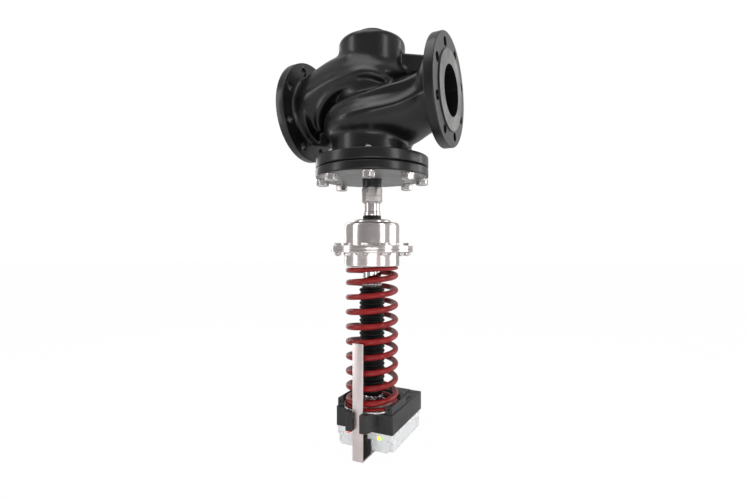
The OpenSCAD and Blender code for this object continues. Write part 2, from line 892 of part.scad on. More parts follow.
// Points of one side of the wall, from the top collar to the bottom collar
function bellows_side(shift) = [
    [bellows_root_d / 2 - shift, bellows_top],
    [bellows_root_d / 2 - shift, bellows_top - collar_len],
    for (i = [0 : bellows_ribs - 1], k = [0, 1, 2, 3])
        let (rib = (bellows_d - bellows_root_d) / 2 * rib_size(i),
            z = bellows_top - collar_len - rib_pitch * i,
            along_shares = [0.34, 0.66, 0.9, 1])
        [bellows_root_d / 2 - shift + (k < 2 ? rib : 0), z - rib_pitch * along_shares[k]],
    [bellows_root_d / 2 - shift, bellows_end]];

function reversed(list) = [for (i = [len(list) - 1 : -1 : 0]) list[i]];

module bellows_boot() {
    color([0.07, 0.075, 0.075]) place()
        rotate_extrude() polygon(concat(bellows_side(0), reversed(bellows_side(bellows_wall))));
}

// Setting spring: one tube, with closed ends that taper to a flat

spring_top = pot_end - stop_gap;
spring_end = plate_face + stop_gap;
spring_r = (spring_od - spring_wire) / 2;
spring_pitch = (spring_top - spring_end - spring_wire) / (spring_turns - 2);
spring_start_angle = 177;
spring_rings_per_turn = 8;
spring_sides = 6;
rest_turns = 0.5;
ramp_turns = 1;
tip_share = 0.27;
ring_count = ceil(spring_turns * spring_rings_per_turn) + 1;

// Turn of ring i, counted from the upper end
function ring_turn(i) = min(i / spring_rings_per_turn, spring_turns);
// Rise of the wire's outer side above its seat, w turns from an end
function rise(w) = w < rest_turns ? 0
    : w < rest_turns + ramp_turns ? spring_pitch * pow(w - rest_turns, 2) / 2 / ramp_turns
    : spring_pitch * (w - rest_turns - ramp_turns / 2);
// Half height of the wire, w turns from an end
function half_wire(w) = spring_wire / 2 * min(1, tip_share + (1 - tip_share) * w);
// Height of the wire's centre, w turns from the upper end
function wire_z(w) = w < spring_turns / 2
    ? spring_top - rise(w) - half_wire(w)
    : spring_end + rise(spring_turns - w) + half_wire(spring_turns - w);
function ring_points(i) =
    let (w = ring_turn(i), a = spring_start_angle - 360 * w,
        h = half_wire(min(w, spring_turns - w)))
    [for (k = [0 : spring_sides - 1])
        let (b = 360 * k / spring_sides, r = spring_r + spring_wire / 2 * cos(b))
        [r * cos(a), r * sin(a), wire_z(w) + h * sin(b)]];
spring_points = [for (i = [0 : ring_count - 1]) each ring_points(i)];

function spring_point(i, k) = i * spring_sides + k % spring_sides;
spring_faces = concat(
    [for (k = [1 : spring_sides - 2]) [0, k, k + 1]],
    [for (i = [0 : ring_count - 2], k = [0 : spring_sides - 1], half = [0, 1])
        half == 0
            ? [spring_point(i, k), spring_point(i + 1, k + 1), spring_point(i, k + 1)]
            : [spring_point(i, k), spring_point(i + 1, k), spring_point(i + 1, k + 1)]],
    [for (k = [1 : spring_sides - 2])
        [spring_point(ring_count - 1, 0), spring_point(ring_count - 1, k + 1),
            spring_point(ring_count - 1, k)]]);

// Least distance between points of one turn and the next
spring_gap = min([for (i = [0 : ring_count - 1],
        j = [i + spring_rings_per_turn - 2 : min(i + spring_rings_per_turn + 2, ring_count - 1)],
        k = [0 : spring_sides - 1], m = [0 : spring_sides - 1])
    norm(spring_points[spring_point(i, k)] - spring_points[spring_point(j, m)])]);
echo(str("Least gap of the setting spring to itself, in millimetres: ", spring_gap));

module setting_spring() {
    color([0.6, 0.1, 0.11]) place() polyhedron(points = spring_points, faces = spring_faces);
}

// Strip and stop block, carried by the spindle's lower end

strip_back = strip_front - strip_t;
block_inset = 0.75;
block_half = strip_w / 2 - block_inset;
block_step = 21;
block_back = 27;
block_play = 3;
recess_roof = 15;
recess_top = unit_bottom - recess_roof;
block_step_z = recess_top - stop_gap;
block_drop = 6;
block_top = unit_bottom - block_drop;
recess_side = 7.25;
recess_half = strip_w / 2 + recess_side;
recess_back = block_back - block_play;
screw_r = 2.5;
screw_len = 14;
screw_head_r = 4.6;
screw_head_h = 1.6;
strip_screw_places = [-strip_back + block_step / 2, -block_back - screw_head_r];

module guide_strip() {
    foot_back = spindle_r + strip_t;
    color([0.84, 0.82, 0.81]) place() difference() {
        union() {
            box(-strip_w / 2, strip_w / 2, -strip_front, -strip_back, foot_bottom, strip_top);
            box(-strip_w / 2, strip_w / 2, -strip_front, foot_back, foot_bottom, foot_top);
        }
        for (y = concat(strip_screw_places, [0])) translate([0, y, 0])
            rod(foot_bottom - cut, foot_top + cut, screw_r + fixed_fit);
    }
}

module stop_block() {
    color([0.11, 0.1, 0.1]) place() difference() {
        union() {
            box(-block_half, block_half, -strip_back, -strip_back + block_step, foot_top, block_top);
            box(-block_half, block_half, -strip_back, -block_back, foot_top, block_step_z);
        }
        for (y = strip_screw_places) translate([0, y, 0])
            rod(foot_top - cut, foot_top + screw_len, screw_r + fixed_fit);
    }
}

module low_screw() {
    rod(foot_bottom - screw_head_h, foot_bottom, screw_head_r);
    rod(foot_bottom, foot_top + screw_len - cut, screw_r);
}

module strip_screws() {
    color([0.75, 0.74, 0.73]) place()
        for (y = strip_screw_places) translate([0, y, 0]) low_screw();
}

module spindle_screw() {
    color([0.75, 0.74, 0.73]) place() low_screw();
}

// Setting unit: spring plate, housing and deck

module lower_spring_plate() {
    rim_w = plate_sheet;
    color([0.76, 0.76, 0.76]) place() rotate_extrude() polygon([
        [plate_hub_r, plate_seat], [plate_r, plate_seat],
        [plate_r, plate_face + plate_rim_h], [plate_r - rim_w, plate_face + plate_rim_h],
        [plate_r - rim_w, plate_face], [plate_hub_r + plate_hub_wall, plate_face],
        [plate_hub_r + plate_hub_wall, plate_face + plate_hub_h - hub_clearance],
        [plate_hub_r, plate_face + plate_hub_h - hub_clearance]]);
}

corner_r = 3;
nose_wall = 4;
post_r = 3.5;
post_x = unit_half - unit_wall - 2 * post_r;
post_front = -unit_front + unit_wall + 2 * post_r;
post_back = unit_back - unit_wall - 2 * post_r;
board_t = 1.6;
board_top = unit_bottom + board_t + stop_gap;
washer_h = 1.7;
gear_top = unit_top - unit_wall - washer_h - stop_gap;
gear_h = 10;
gear_bottom = gear_top - gear_h;
nut_r = gear_module * nut_teeth / 2;
pinion_y = gear_module * (nut_teeth + pinion_teeth) / 2;
motor_gap = 2;
motor_top = gear_bottom - motor_gap;
motor_r = 28;
motor_y = pinion_y + motor_r * 0.86;
deck_step_y = 36;
deck_step_inset = 25.5;
deck_step_x = unit_half - deck_step_inset;
deck_bevel = 26;
strip_play = 0.4;

module nose_plan() {
    polygon([[-nose_root_w / 2, -unit_front - cut], [-nose_w / 2, -nose_front],
        [nose_w / 2, -nose_front], [nose_root_w / 2, -unit_front - cut],
        [nose_root_w / 2, -unit_front + unit_wall], [-nose_root_w / 2, -unit_front + unit_wall]]);
}

module setting_housing() {
    color([0.27, 0.27, 0.28]) place() difference() {
        union() {
            difference() {
                rounded_block(-unit_half, unit_half, -unit_front, unit_back,
                    unit_bottom, unit_top, corner_r);
                rounded_block(-unit_half + unit_wall, unit_half - unit_wall,
                    -unit_front + unit_wall, unit_back - unit_wall,
                    unit_bottom - cut, unit_top - unit_wall, corner_r / 2);
            }
            translate([0, 0, nose_bottom]) linear_extrude(nose_top - nose_bottom) nose_plan();
            rod(unit_top - unit_wall, plate_seat, plate_r - 2 * plate_sheet);
            for (x = [-post_x, post_x], y = [post_front, post_back]) translate([x, y, 0])
                rod(board_top, unit_top - unit_wall / 2, post_r);
            for (x = [-motor_r / 2, motor_r / 2]) translate([x, motor_y, 0])
                rod(motor_top, unit_top - unit_wall / 2, post_r);
        }
        rod(unit_bottom, plate_seat + cut, nut_body_r + stop_gap);
        rod(plate_seat, nose_top + cut, plate_r + plate_play);
        strip_channel();
        nose_hollow();
        translate([0, 0, unit_top - unit_wall / 2]) linear_extrude(unit_wall) {
            translate([unit_half - slot_inset, deck_step_y + slot_inset]) square([slot_w, slot_len]);
            translate([unit_half - slot_inset - slot_w, slot_hole_y]) circle(r = slot_w / 2);
        }
        translate([0, unit_back + cut, unit_bottom + unit_h / 2]) rotate([90, 0, 0])
            cylinder(h = unit_wall + 2 * cut, r = gland_hole_r);
    }
}

gland_hole_r = 8;
slot_inset = 14;
slot_w = 5;
slot_len = 36;
slot_hole_y = deck_step_y + 2 * slot_len;

// The way that the strip takes through the nose, open to the front
module strip_channel() {
    half = strip_w / 2 + strip_play;
    box(-nose_slot_w / 2, nose_slot_w / 2, -nose_front - cut, -strip_front,
        nose_bottom - cut, nose_top + cut);
    box(-half, half, -strip_front - strip_play, -strip_back + strip_play,
        nose_bottom - cut, nose_top + cut);
}

// The space in the nose between the strip and the housing's front
module nose_hollow() {
    side = nose_w / 2 - nose_wall;
    box(-side, side, -strip_back + nose_wall, -unit_front - nose_wall,
        nose_bottom - cut, nose_top - unit_wall);
}

// Holes in the deck: places as shares of its half width and its depth, radii as shares of its height
deck_hole_shares = [[0.27, 0.565, 0.29], [0.52, 0.443, 0.13], [-0.7, 0.473, 0.13], [-0.37, 0.855, 0.19]];

module deck_plan(inset) {
    edge = unit_half - deck_inset - inset;
    front = -unit_front + deck_inset + inset;
    back = unit_back - deck_inset - inset;
    r = corner_r;
    rounded_plan(-edge, edge, front, deck_step_y - inset, r);
    rounded_plan(-edge, deck_step_x - inset, front, back, r);
    translate([-inset * cos(45), -inset * cos(45)]) polygon([[0, deck_step_y],
        [unit_half - deck_inset, deck_step_y], [deck_step_x, deck_step_y + deck_bevel],
        [0, deck_step_y + deck_bevel]]);
}

module housing_deck() {
    spring_hole_r = plate_r + plate_play;
    color([0.3, 0.3, 0.31]) place() difference() {
        union() {
            translate([0, 0, unit_top]) linear_extrude(deck_h) deck_plan(0);
            step_wall();
        }
        difference() {
            translate([0, 0, unit_top - cut]) linear_extrude(deck_h - unit_wall + cut)
                deck_plan(unit_wall);
            tube(unit_top - 2 * cut, deck_top, spring_hole_r + unit_wall, spring_hole_r - cut);
            for (x = [-post_x, post_x], y = [post_front, post_back]) translate([x, y, 0])
                rod(unit_top - 2 * cut, deck_top, post_r);
        }
        rod(unit_top - cut, deck_top + cut, spring_hole_r);
        for (h = deck_hole_shares) translate([h[0] * unit_half, h[1] * unit_back, 0])
            rod(deck_top - 2 * unit_wall, deck_top + cut, h[2] * deck_h);
        for (x = [-post_x, post_x]) {
            translate([x, -unit_front, deck_top - deck_h / 3]) rotate([-90, 0, 0])
                cylinder(h = 2 * unit_wall, r = screw_r * 0.8);
        }
        for (p = deck_screw_places) translate([p[0], p[1], 0])
            rod(unit_top - cut, deck_top + cut, screw_r + fixed_fit);
    }
}

deck_screw_places = [[-post_x, post_back], [-post_x, deck_step_y + deck_bevel]];

// The curved end of the deck's right wall, where it falls to the housing
module step_wall() {
    edge = unit_half - deck_inset;
    fall_r = deck_h * 0.55;
    translate([edge - unit_wall, 0, 0]) rotate([90, 0, 90]) linear_extrude(unit_wall)
        difference() {
            translate([deck_step_y - corner_r, unit_top])
                square([corner_r + fall_r, deck_h * 0.9]);
            translate([deck_step_y + fall_r, unit_top + fall_r + deck_inset])
                circle(r = fall_r);
            translate([deck_step_y, unit_top + fall_r + deck_inset])
                square([2 * fall_r, deck_h]);
        }
}

module deck_screws() {
    color([0.7, 0.7, 0.7]) place() for (p = deck_screw_places) translate([p[0], p[1], 0]) {
        rod(deck_top, deck_top + screw_head_h, screw_head_r);
        rod(unit_top, deck_top, screw_r);
    }
}

module thrust_washer() {
    color([0.72, 0.6, 0.35]) place()
        tube(unit_top - unit_wall - washer_h, unit_top - unit_wall, nut_r - gear_module * 2,
            nut_body_r + stop_gap);
}

// Gears, motor and board

module gear_plan(teeth) {
    pitch_r = gear_module * teeth / 2;
    root_r = pitch_r - gear_module * 1.2;
    tip_r = pitch_r + gear_module * 0.95;
    pitch_angle = 360 / teeth;
    width_shares = [0.3, 0.22, 0.11];
    polygon([for (i = [0 : teeth - 1], p = [[root_r, -width_shares[0]],
            [pitch_r, -width_shares[1]], [tip_r, -width_shares[2]], [tip_r, width_shares[2]],
            [pitch_r, width_shares[1]], [root_r, width_shares[0]]])
        let (a = (i + p[1]) * pitch_angle) [p[0] * cos(a), p[0] * sin(a)]]);
}

nut_notches = 12;
nut_tail = 14;
nut_bottom = gear_bottom - nut_tail;

module adjusting_nut() {
    notch_w = 5;
    notch_depth = 3;
    color([0.8, 0.8, 0.81]) place() difference() {
        union() {
            rod(nut_top - nut_lip_h, nut_top, bellows_root_d / 2 - bellows_wall);
            rod(nut_ring_end, nut_top - nut_lip_h, nut_ring_r);
            rod(gear_top, nut_ring_end, nut_body_r);
            translate([0, 0, gear_bottom]) linear_extrude(gear_h) rotate([0, 0, 90])
                gear_plan(nut_teeth);
            rod(nut_bottom, gear_bottom, spindle_d);
        }
        rod(nut_bottom - cut, nut_top + cut, spindle_r + run_fit);
        around(nut_notches, nut_ring_r) box(-notch_depth, cut, -notch_w / 2, notch_w / 2,
            nut_ring_end - cut, nut_top - nut_lip_h + cut);
    }
}

shaft_r = 2.5;
shaft_len = 8;

module motor_pinion() {
    half_tooth = 180 / pinion_teeth;
    color([0.72, 0.6, 0.35]) place() translate([0, pinion_y, 0]) {
        translate([0, 0, gear_bottom]) linear_extrude(gear_h)
            rotate([0, 0, -90 + half_tooth]) gear_plan(pinion_teeth);
        rod(motor_top - shaft_len + cut, gear_bottom, shaft_r);
    }
}

module gear_motor() {
    color([0.6, 0.6, 0.62]) place() difference() {
        translate([0, motor_y, 0]) rod(board_top, motor_top, motor_r);
        translate([0, pinion_y, 0]) rod(motor_top - shaft_len, motor_top + cut, shaft_r + run_fit);
    }
}

module circuit_board() {
    edge = unit_half - unit_wall - board_t;
    color([0.1, 0.35, 0.2]) place() difference() {
        box(-edge, edge, -unit_front + unit_wall + board_t, unit_back - unit_wall - board_t,
            board_top - board_t, board_top);
        rod(board_top - board_t - cut, board_top + cut, spindle_d + run_fit + stop_gap);
    }
}

lamp_r = 2.5;
lamp_h = 5;
lamp_share = 0.542;
lamp_x = unit_half * lamp_share;
lamp_y = -unit_front + unit_wall + board_t + 2 * lamp_r;

module lamp(x) {
    translate([x, lamp_y, board_top - board_t]) mirror([0, 0, 1]) {
        cylinder(h = lamp_h, r = lamp_r);
        translate([0, 0, lamp_h]) sphere(r = lamp_r - run_fit);
    }
}

module red_indicator() {
    color([0.9, 0.15, 0.12]) place() lamp(-lamp_x);
}

module yellow_indicator() {
    color([0.95, 0.85, 0.2]) place() lamp(lamp_x);
}

module green_indicators() {
    color([0.2, 0.85, 0.3]) place() for (x = [-lamp_x * 0.08, lamp_x * 1.22]) lamp(x);
}

// Clear cover under the housing

notch = 9;
notch_roof = 15;
notch_top = unit_bottom - notch_roof;

module corner_notches(grow, z1) {
    for (sx = [-1, 1], corner_y = [[-unit_front, 1], [clear_back, -1]])
        translate([sx * clear_half, corner_y[0], 0]) scale_sign(sx, corner_y[1])
            box(-notch - grow, cut, -cut, notch + grow, clear_bottom - cut, z1 + grow);
}

// Mirrors a corner piece to the corner that the signs name
module scale_sign(sx, sy) {
    mirror([sx < 0 ? 1 : 0, 0, 0]) mirror([0, sy < 0 ? 1 : 0, 0]) children();
}

module clear_cover() {
    inner = clear_half - clear_wall;
    color([0.93, 0.94, 0.95, 0.6]) place() difference() {
        rounded_block(-clear_half, clear_half, -unit_front, clear_back,
            clear_bottom, unit_bottom, corner_r);
        difference() {
            rounded_block(-inner, inner, -unit_front + clear_wall, clear_back - clear_wall,
                clear_bottom + clear_wall, unit_bottom + cut, corner_r / 2);
            box(-recess_half - clear_wall, recess_half + clear_wall, -unit_front - cut,
                -recess_back + clear_wall, clear_bottom, recess_top + clear_wall);
            corner_notches(clear_wall, notch_top);
        }
        box(-recess_half, recess_half, -unit_front - cut, -recess_back,
            clear_bottom - cut, recess_top);
        corner_notches(0, notch_top);
        rod(clear_bottom - cut, clear_bottom + clear_wall + cut, spindle_r + clear_wall);
        for (p = cover_screw_places) translate([p[0], p[1], 0])
            rod(notch_top - cut, notch_top + clear_wall + cut, screw_r * 0.6 + fixed_fit);
    }
}

cover_screw_places = [for (x = [-1, 1], y = [-unit_front + notch * 0.55,
    clear_back - notch * 0.55]) [x * (clear_half - notch * 0.55), y]];

module cover_screws() {
    color([0.45, 0.44, 0.43]) place() for (p = cover_screw_places) translate([p[0], p[1], 0]) {
        rod(notch_top - screw_head_h, notch_top, notch * 0.3);
        rod(notch_top, unit_bottom, screw_r * 0.6);
    }
}

// Where the unit's cable would enter
module cable_gland() {
    z = unit_bottom + unit_h / 2;
    nut_len = gland_hole_r;
    color([0.1, 0.1, 0.1]) place() translate([0, unit_back, z]) rotate([-90, 0, 0]) difference() {
        union() {
            translate([0, 0, -unit_wall]) cylinder(h = unit_wall, r = gland_hole_r - fixed_fit);
            cylinder(h = nut_len, r = gland_hole_r * 1.4, $fn = 6);
            cylinder(h = nut_len * 1.5, r = gland_hole_r);
        }
        translate([0, 0, -unit_wall - cut])
            cylinder(h = unit_wall + nut_len * 1.5 + 2 * cut, r = gland_hole_r * 0.45);
    }
}

valve_body();
seat_ring();
cover_gasket();
bonnet_cover();
cover_bolts();
cover_washers();
stem_bushes();
stem_seal();
union_nut();
actuator_neck();
neck_ring();
neck_lock_nut();
upper_casing();
lower_casing();
casing_bolts();
casing_nuts();
sleeve_bush();
sleeve_seal();
impulse_fittings();
diaphragm();
valve_plug();
plug_seal();
plug_nut();
valve_stem();
diaphragm_plate_upper();
diaphragm_plate_lower();
plate_nut();
spindle_sleeve();
spindle_spacer();
ball_cage();
bearing_balls();
adjusting_spindle();
guide_strip();
stop_block();
strip_screws();
spindle_screw();
bellows_boot();
setting_spring();
lower_spring_plate();
setting_housing();
housing_deck();
deck_screws();
thrust_washer();
gear_motor();
circuit_board();
red_indicator();
yellow_indicator();
green_indicators();
clear_cover();
cover_screws();
cable_gland();
adjusting_nut();
motor_pinion();
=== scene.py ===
# %% [markdown]
# # Differential pressure regulator
# The object is a cast, flanged valve with a diaphragm actuator, a red setting spring and a
# motorised setting unit hanging below it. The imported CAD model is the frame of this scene.
# Each step below dresses one piece of it, and sits where the frame says.

# %% Load the frame
import json
import math
import bmesh
import bpy
import numpy as np
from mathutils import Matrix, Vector


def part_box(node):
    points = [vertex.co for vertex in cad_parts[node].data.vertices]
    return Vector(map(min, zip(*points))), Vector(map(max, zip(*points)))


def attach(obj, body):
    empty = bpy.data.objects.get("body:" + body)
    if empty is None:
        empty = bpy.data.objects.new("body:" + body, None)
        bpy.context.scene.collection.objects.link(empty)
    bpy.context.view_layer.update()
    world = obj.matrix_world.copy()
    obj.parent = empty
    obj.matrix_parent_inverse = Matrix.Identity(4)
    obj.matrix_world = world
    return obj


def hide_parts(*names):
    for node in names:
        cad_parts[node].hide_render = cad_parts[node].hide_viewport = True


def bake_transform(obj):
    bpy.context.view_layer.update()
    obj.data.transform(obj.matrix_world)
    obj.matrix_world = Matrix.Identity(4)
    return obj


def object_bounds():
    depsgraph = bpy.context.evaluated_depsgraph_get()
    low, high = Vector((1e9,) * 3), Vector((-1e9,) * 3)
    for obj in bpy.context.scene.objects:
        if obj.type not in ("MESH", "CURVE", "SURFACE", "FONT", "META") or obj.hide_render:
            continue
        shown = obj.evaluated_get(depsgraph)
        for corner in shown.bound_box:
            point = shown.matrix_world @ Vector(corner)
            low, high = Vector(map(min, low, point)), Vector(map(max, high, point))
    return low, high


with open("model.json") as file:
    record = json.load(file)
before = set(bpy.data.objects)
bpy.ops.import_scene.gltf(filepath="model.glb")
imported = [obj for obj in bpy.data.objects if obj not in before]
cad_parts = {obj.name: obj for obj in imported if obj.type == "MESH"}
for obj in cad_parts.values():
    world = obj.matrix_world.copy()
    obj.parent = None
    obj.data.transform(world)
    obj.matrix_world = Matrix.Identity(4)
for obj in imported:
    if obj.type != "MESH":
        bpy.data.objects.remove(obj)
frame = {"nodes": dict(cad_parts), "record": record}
cad_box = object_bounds()
print("CAD box", cad_box)

# %% [markdown]
# ## Units
# Every shape is written in millimetres from the spindle, the line that the whole valve is built
# round, because a maker's drawing reads that way. One function turns such points into metres
# in the frame, so no piece can end up in another place.

# %% Spindle axis and units
MM = 0.001
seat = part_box("seat_ring")
axis_x = (seat[0][0] + seat[1][0]) / 2


def in_frame(points):
    """Points in millimetres from the spindle, as metres in the frame."""
    points = np.asarray(points, dtype=float) * MM
    points[:, 0] += axis_x
    return points


def levels(node):
    """Lowest and highest level of a CAD node, in millimetres."""
    low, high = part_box(node)
    return low[2] / MM, high[2] / MM


print("spindle axis at x =", round(axis_x, 4))

# %% [markdown]
# ## Camera
# The photograph was taken level with the casing of the actuator, from the right front. The two
# round flanges gave the camera's place and its lens, so the render can be laid over the photo.

# %% Camera
eye = bpy.data.cameras.new("camera")
eye.sensor_width = 36
eye.lens = 20.69
eye.shift_x = 0.0007
camera = bpy.data.objects.new("camera", eye)
camera.location = (axis_x + 0.4064, -0.8276, -0.3143)
camera.rotation_euler = (math.radians(90), 0, math.radians(26.155))
bpy.context.collection.objects.link(camera)
scene = bpy.context.scene
scene.camera = camera
scene.view_settings.view_transform = "Standard"
print("lens", eye.lens, "mm")

# %% [markdown]
# ## Node tools
# The floor, the studio and every finish are node trees. These functions keep each one short.

# %% Node tools


def fill(tree, node, **values):
    """Set a node's inputs, by name or by number, to values or to other nodes' outputs."""
    for key, value in values.items():
        by_number = key[0] == "i" and key[1:].isdigit()
        socket = node.inputs[int(key[1:]) if by_number else key.replace("_", " ")]
        if isinstance(value, bpy.types.NodeSocket):
            tree.links.new(value, socket)
        else:
            socket.default_value = value


def add(tree, kind, settings=(), **values):
    """A new node with its settings and its inputs."""
    node = tree.nodes.new(kind)
    for key, value in dict(settings).items():
        setattr(node, key, value)
    fill(tree, node, **values)
    return node


def noise(tree, place, scale, detail=4, rough=0.55):
    return add(tree, "ShaderNodeTexNoise", Vector=place, Scale=scale, Detail=detail,
               Roughness=rough).outputs["Fac"]


def maths(tree, operation, a, b=0.0):
    return add(tree, "ShaderNodeMath", {"operation": operation}, i0=a, i1=b).outputs[0]


def times(tree, a, b):
    return maths(tree, "MULTIPLY", a, b)


def plus(tree, a, b):
    return maths(tree, "ADD", a, b)


def off_line(tree, a, b):
    """Distance from a line, from the two distances square to it."""
    return maths(tree, "SQRT", plus(tree, times(tree, a, a), times(tree, b, b)))


def spread(tree, value, low, high, to_low=0.0, to_high=1.0):
    """A value moved from one range to another, and held inside it."""
    return add(tree, "ShaderNodeMapRange", {}, Value=value, From_Min=low, From_Max=high,
               To_Min=to_low, To_Max=to_high).outputs[0]


def object_place(tree):
    return tree.nodes.new("ShaderNodeTexCoord").outputs["Object"]


def new_finish(name, metallic, roughness, **values):
    material = bpy.data.materials.new(name)
    material.use_nodes = True
    tree = material.node_tree
    shader = tree.nodes["Principled BSDF"]
    fill(tree, shader, Metallic=metallic, Roughness=roughness, **values)
    return material, tree, shader


def whitened(tree, shader, kind, share):
    """A shader mixed with a share of white, for camera rays and rays through glass only."""
    path = tree.nodes.new("ShaderNodeLightPath")
    seen = maths(tree, "MAXIMUM", path.outputs["Is Camera Ray"],
                 path.outputs["Is Transmission Ray"])
    white = add(tree, kind, Color=(1, 1, 1, 1))
    return add(tree, "ShaderNodeMixShader", i0=times(tree, seen, share), i1=shader,
               i2=white.outputs[0]).outputs[0]


# %% [markdown]
# ## Floor and light
# Product photographs of black castings are lit by large soft boxes: the paint mirrors them as
# long pale streaks that show its roundness. The floor is pale, and for the camera it is nearly
# white, but it keeps the valve's shadow.

# %% Floor
floor_mesh = bpy.data.meshes.new("floor")
floor_z, reach = cad_box[0][2] - 0.0005, 14
floor_mesh.from_pydata([(-reach, -reach, floor_z), (reach, -reach, floor_z),
                        (reach, reach, floor_z), (-reach, reach, floor_z)], [], [(0, 1, 2, 3)])
floor = bpy.data.objects.new("floor", floor_mesh)
bpy.context.collection.objects.link(floor)
pale, tree, shader = new_finish("pale floor", 0, 0.9, Base_Color=(0.88, 0.88, 0.88, 1))
fill(tree, tree.nodes["Material Output"],
     Surface=whitened(tree, shader.outputs[0], "ShaderNodeEmission", 0.985))
floor_mesh.materials.append(pale)

# %% World
world = bpy.data.worlds.new("studio")
scene.world = world
world.use_nodes = True
tree = world.node_tree
direction = tree.nodes.new("ShaderNodeTexCoord").outputs["Generated"]
away = add(tree, "ShaderNodeSeparateXYZ", Vector=direction).outputs["Y"]
studio = tree.nodes["Background"]
fill(tree, studio, Strength=0.63, Color=spread(tree, away, -1, 1, 0.55, 1.0))
fill(tree, tree.nodes["World Output"],
     Surface=whitened(tree, studio.outputs[0], "ShaderNodeBackground", 1))

# %% Soft boxes


def soft_box(name, place, aim, width, height, watts):
    lamp = bpy.data.lights.new(name, "AREA")
    lamp.shape = "RECTANGLE"
    lamp.size, lamp.size_y = width, height
    lamp.energy = watts
    ob = bpy.data.objects.new(name, lamp)
    ob.location = place
    ob.rotation_euler = (Vector(aim) - Vector(place)).to_track_quat("-Z", "Y").to_euler()
    bpy.context.collection.objects.link(ob)


middle = (axis_x, 0, -0.3)
soft_box("left strip", (-1.15, -1.25, 0.15), middle, 0.45, 1.9, 11)
soft_box("right strip", (1.75, -0.55, 0.1), middle, 0.35, 1.7, 10)
soft_box("top box", (0.1, -0.5, 1.45), (axis_x, 0, 0), 1.3, 1.3, 11)
soft_box("low front", (0.9, -1.5, -0.65), (axis_x, 0, -0.25), 0.9, 0.35, 7)
soft_box("right wall", (2.3, 1.05, -0.3), middle, 0.8, 1.6, 11)
soft_box("left rim", (-1.2, 0.75, 0.0), middle, 0.16, 1.6, 4)
soft_box("right rim", (1.15, 0.95, 0.0), middle, 0.16, 1.6, 4)

# %% [markdown]
# ## Shader groups
# Several finishes share an effect, so each effect is a node group with its own inputs: the
# skin of sand-cast iron under paint, the rings that a lathe leaves, the fine texture of a
# moulding, and smudges that vary the gloss. A group only puts out masks and heights. The
# shader itself stays in the material, where its gloss and colour can be read.

# %% Group tools


def new_group(name, inputs, outputs):
    """An empty shader group with float inputs (name: value) and float outputs."""
    group = bpy.data.node_groups.new(name, "ShaderNodeTree")
    for label, value in inputs.items():
        socket = group.interface.new_socket(label, in_out="INPUT", socket_type="NodeSocketFloat")
        socket.default_value = value
    for label in outputs:
        group.interface.new_socket(label, in_out="OUTPUT", socket_type="NodeSocketFloat")
    return group, group.nodes.new("NodeGroupInput"), group.nodes.new("NodeGroupOutput")


# %% Cast skin
cast_skin, _, out = new_group("cast skin", {}, ["Height", "Tone"])
place = object_place(cast_skin)
coarse = noise(cast_skin, place, 95, 3, 0.5)
grain = noise(cast_skin, place, 620, 5, 0.6)
pits = add(cast_skin, "ShaderNodeTexVoronoi", Vector=place, Scale=330).outputs["Distance"]
pits = spread(cast_skin, pits, 0.0, 0.22)
skin = plus(cast_skin, times(cast_skin, coarse, 0.55), times(cast_skin, grain, 0.3))
skin = plus(cast_skin, skin, times(cast_skin, pits, 0.08))
fill(cast_skin, out, Height=skin,
     Tone=spread(cast_skin, noise(cast_skin, place, 24, 4), 0.3, 0.7))

# %% Worn edges
worn_edges, into, out = new_group("worn edges", {"Start": 0.56, "End": 0.66}, ["Mask"])
point = worn_edges.nodes.new("ShaderNodeNewGeometry").outputs["Pointiness"]
broken = noise(worn_edges, object_place(worn_edges), 160, 5, 0.65)
ridge = spread(worn_edges, point, into.outputs["Start"], into.outputs["End"])
fill(worn_edges, out, Mask=times(worn_edges, ridge, spread(worn_edges, broken, 0.35, 0.6)))

# %% Lathe rings
lathe_rings, into, out = new_group("lathe rings", {"Per Metre": 1800.0}, ["Height", "Tone"])
xyz = add(lathe_rings, "ShaderNodeSeparateXYZ", Vector=object_place(lathe_rings)).outputs
radius = off_line(lathe_rings, maths(lathe_rings, "SUBTRACT", xyz["X"], axis_x), xyz["Y"])
path_cut = plus(lathe_rings, radius, xyz["Z"])
lane = maths(lathe_rings, "FLOOR", times(lathe_rings, path_cut, into.outputs["Per Metre"]))
pick = add(lathe_rings, "ShaderNodeTexWhiteNoise", {"noise_dimensions": "1D"}, W=lane)
per_metre = times(lathe_rings, into.outputs["Per Metre"], 2 * math.pi)
wave = maths(lathe_rings, "SINE", times(lathe_rings, path_cut, per_metre))
fill(lathe_rings, out, Height=times(lathe_rings, wave, pick.outputs["Value"]),
     Tone=pick.outputs["Value"])

# %% Moulded texture
moulded, into, out = new_group("moulded texture", {"Scale": 1500.0}, ["Height", "Tone"])
place = object_place(moulded)
fill(moulded, out, Height=noise(moulded, place, into.outputs["Scale"], 2, 0.5),
     Tone=spread(moulded, noise(moulded, place, 18, 3), 0.35, 0.65))

# %% Smudges
smudges, into, out = new_group("smudges", {"Scale": 14.0}, ["Mask"])
cloud = noise(smudges, object_place(smudges), into.outputs["Scale"], 6, 0.7)
fill(smudges, out, Mask=spread(smudges, cloud, 0.42, 0.68))
print("shader groups", [g.name for g in bpy.data.node_groups])

# %% [markdown]
# ## Finishes
# A finish is one Principled shader with the groups placed round it. The colours are written
# as they look under plain white light.

# %% Finish tools


def colour(red, green, blue):
    """A colour as it looks on screen, from 0 to 255, as the linear values that a shader reads."""
    return tuple((c / 255 / 12.92 if c <= 10 else ((c / 255 + 0.055) / 1.055) ** 2.4)
                 for c in (red, green, blue)) + (1,)


def placed(tree, group, **values):
    return add(tree, "ShaderNodeGroup", {"node_tree": group}, **values)


def blended(tree, mask, first, second):
    """The first colour where the mask is 0, the second where it is 1."""
    return add(tree, "ShaderNodeMix", {"data_type": "RGBA"}, Factor=mask, i6=first,
               i7=second).outputs[2]


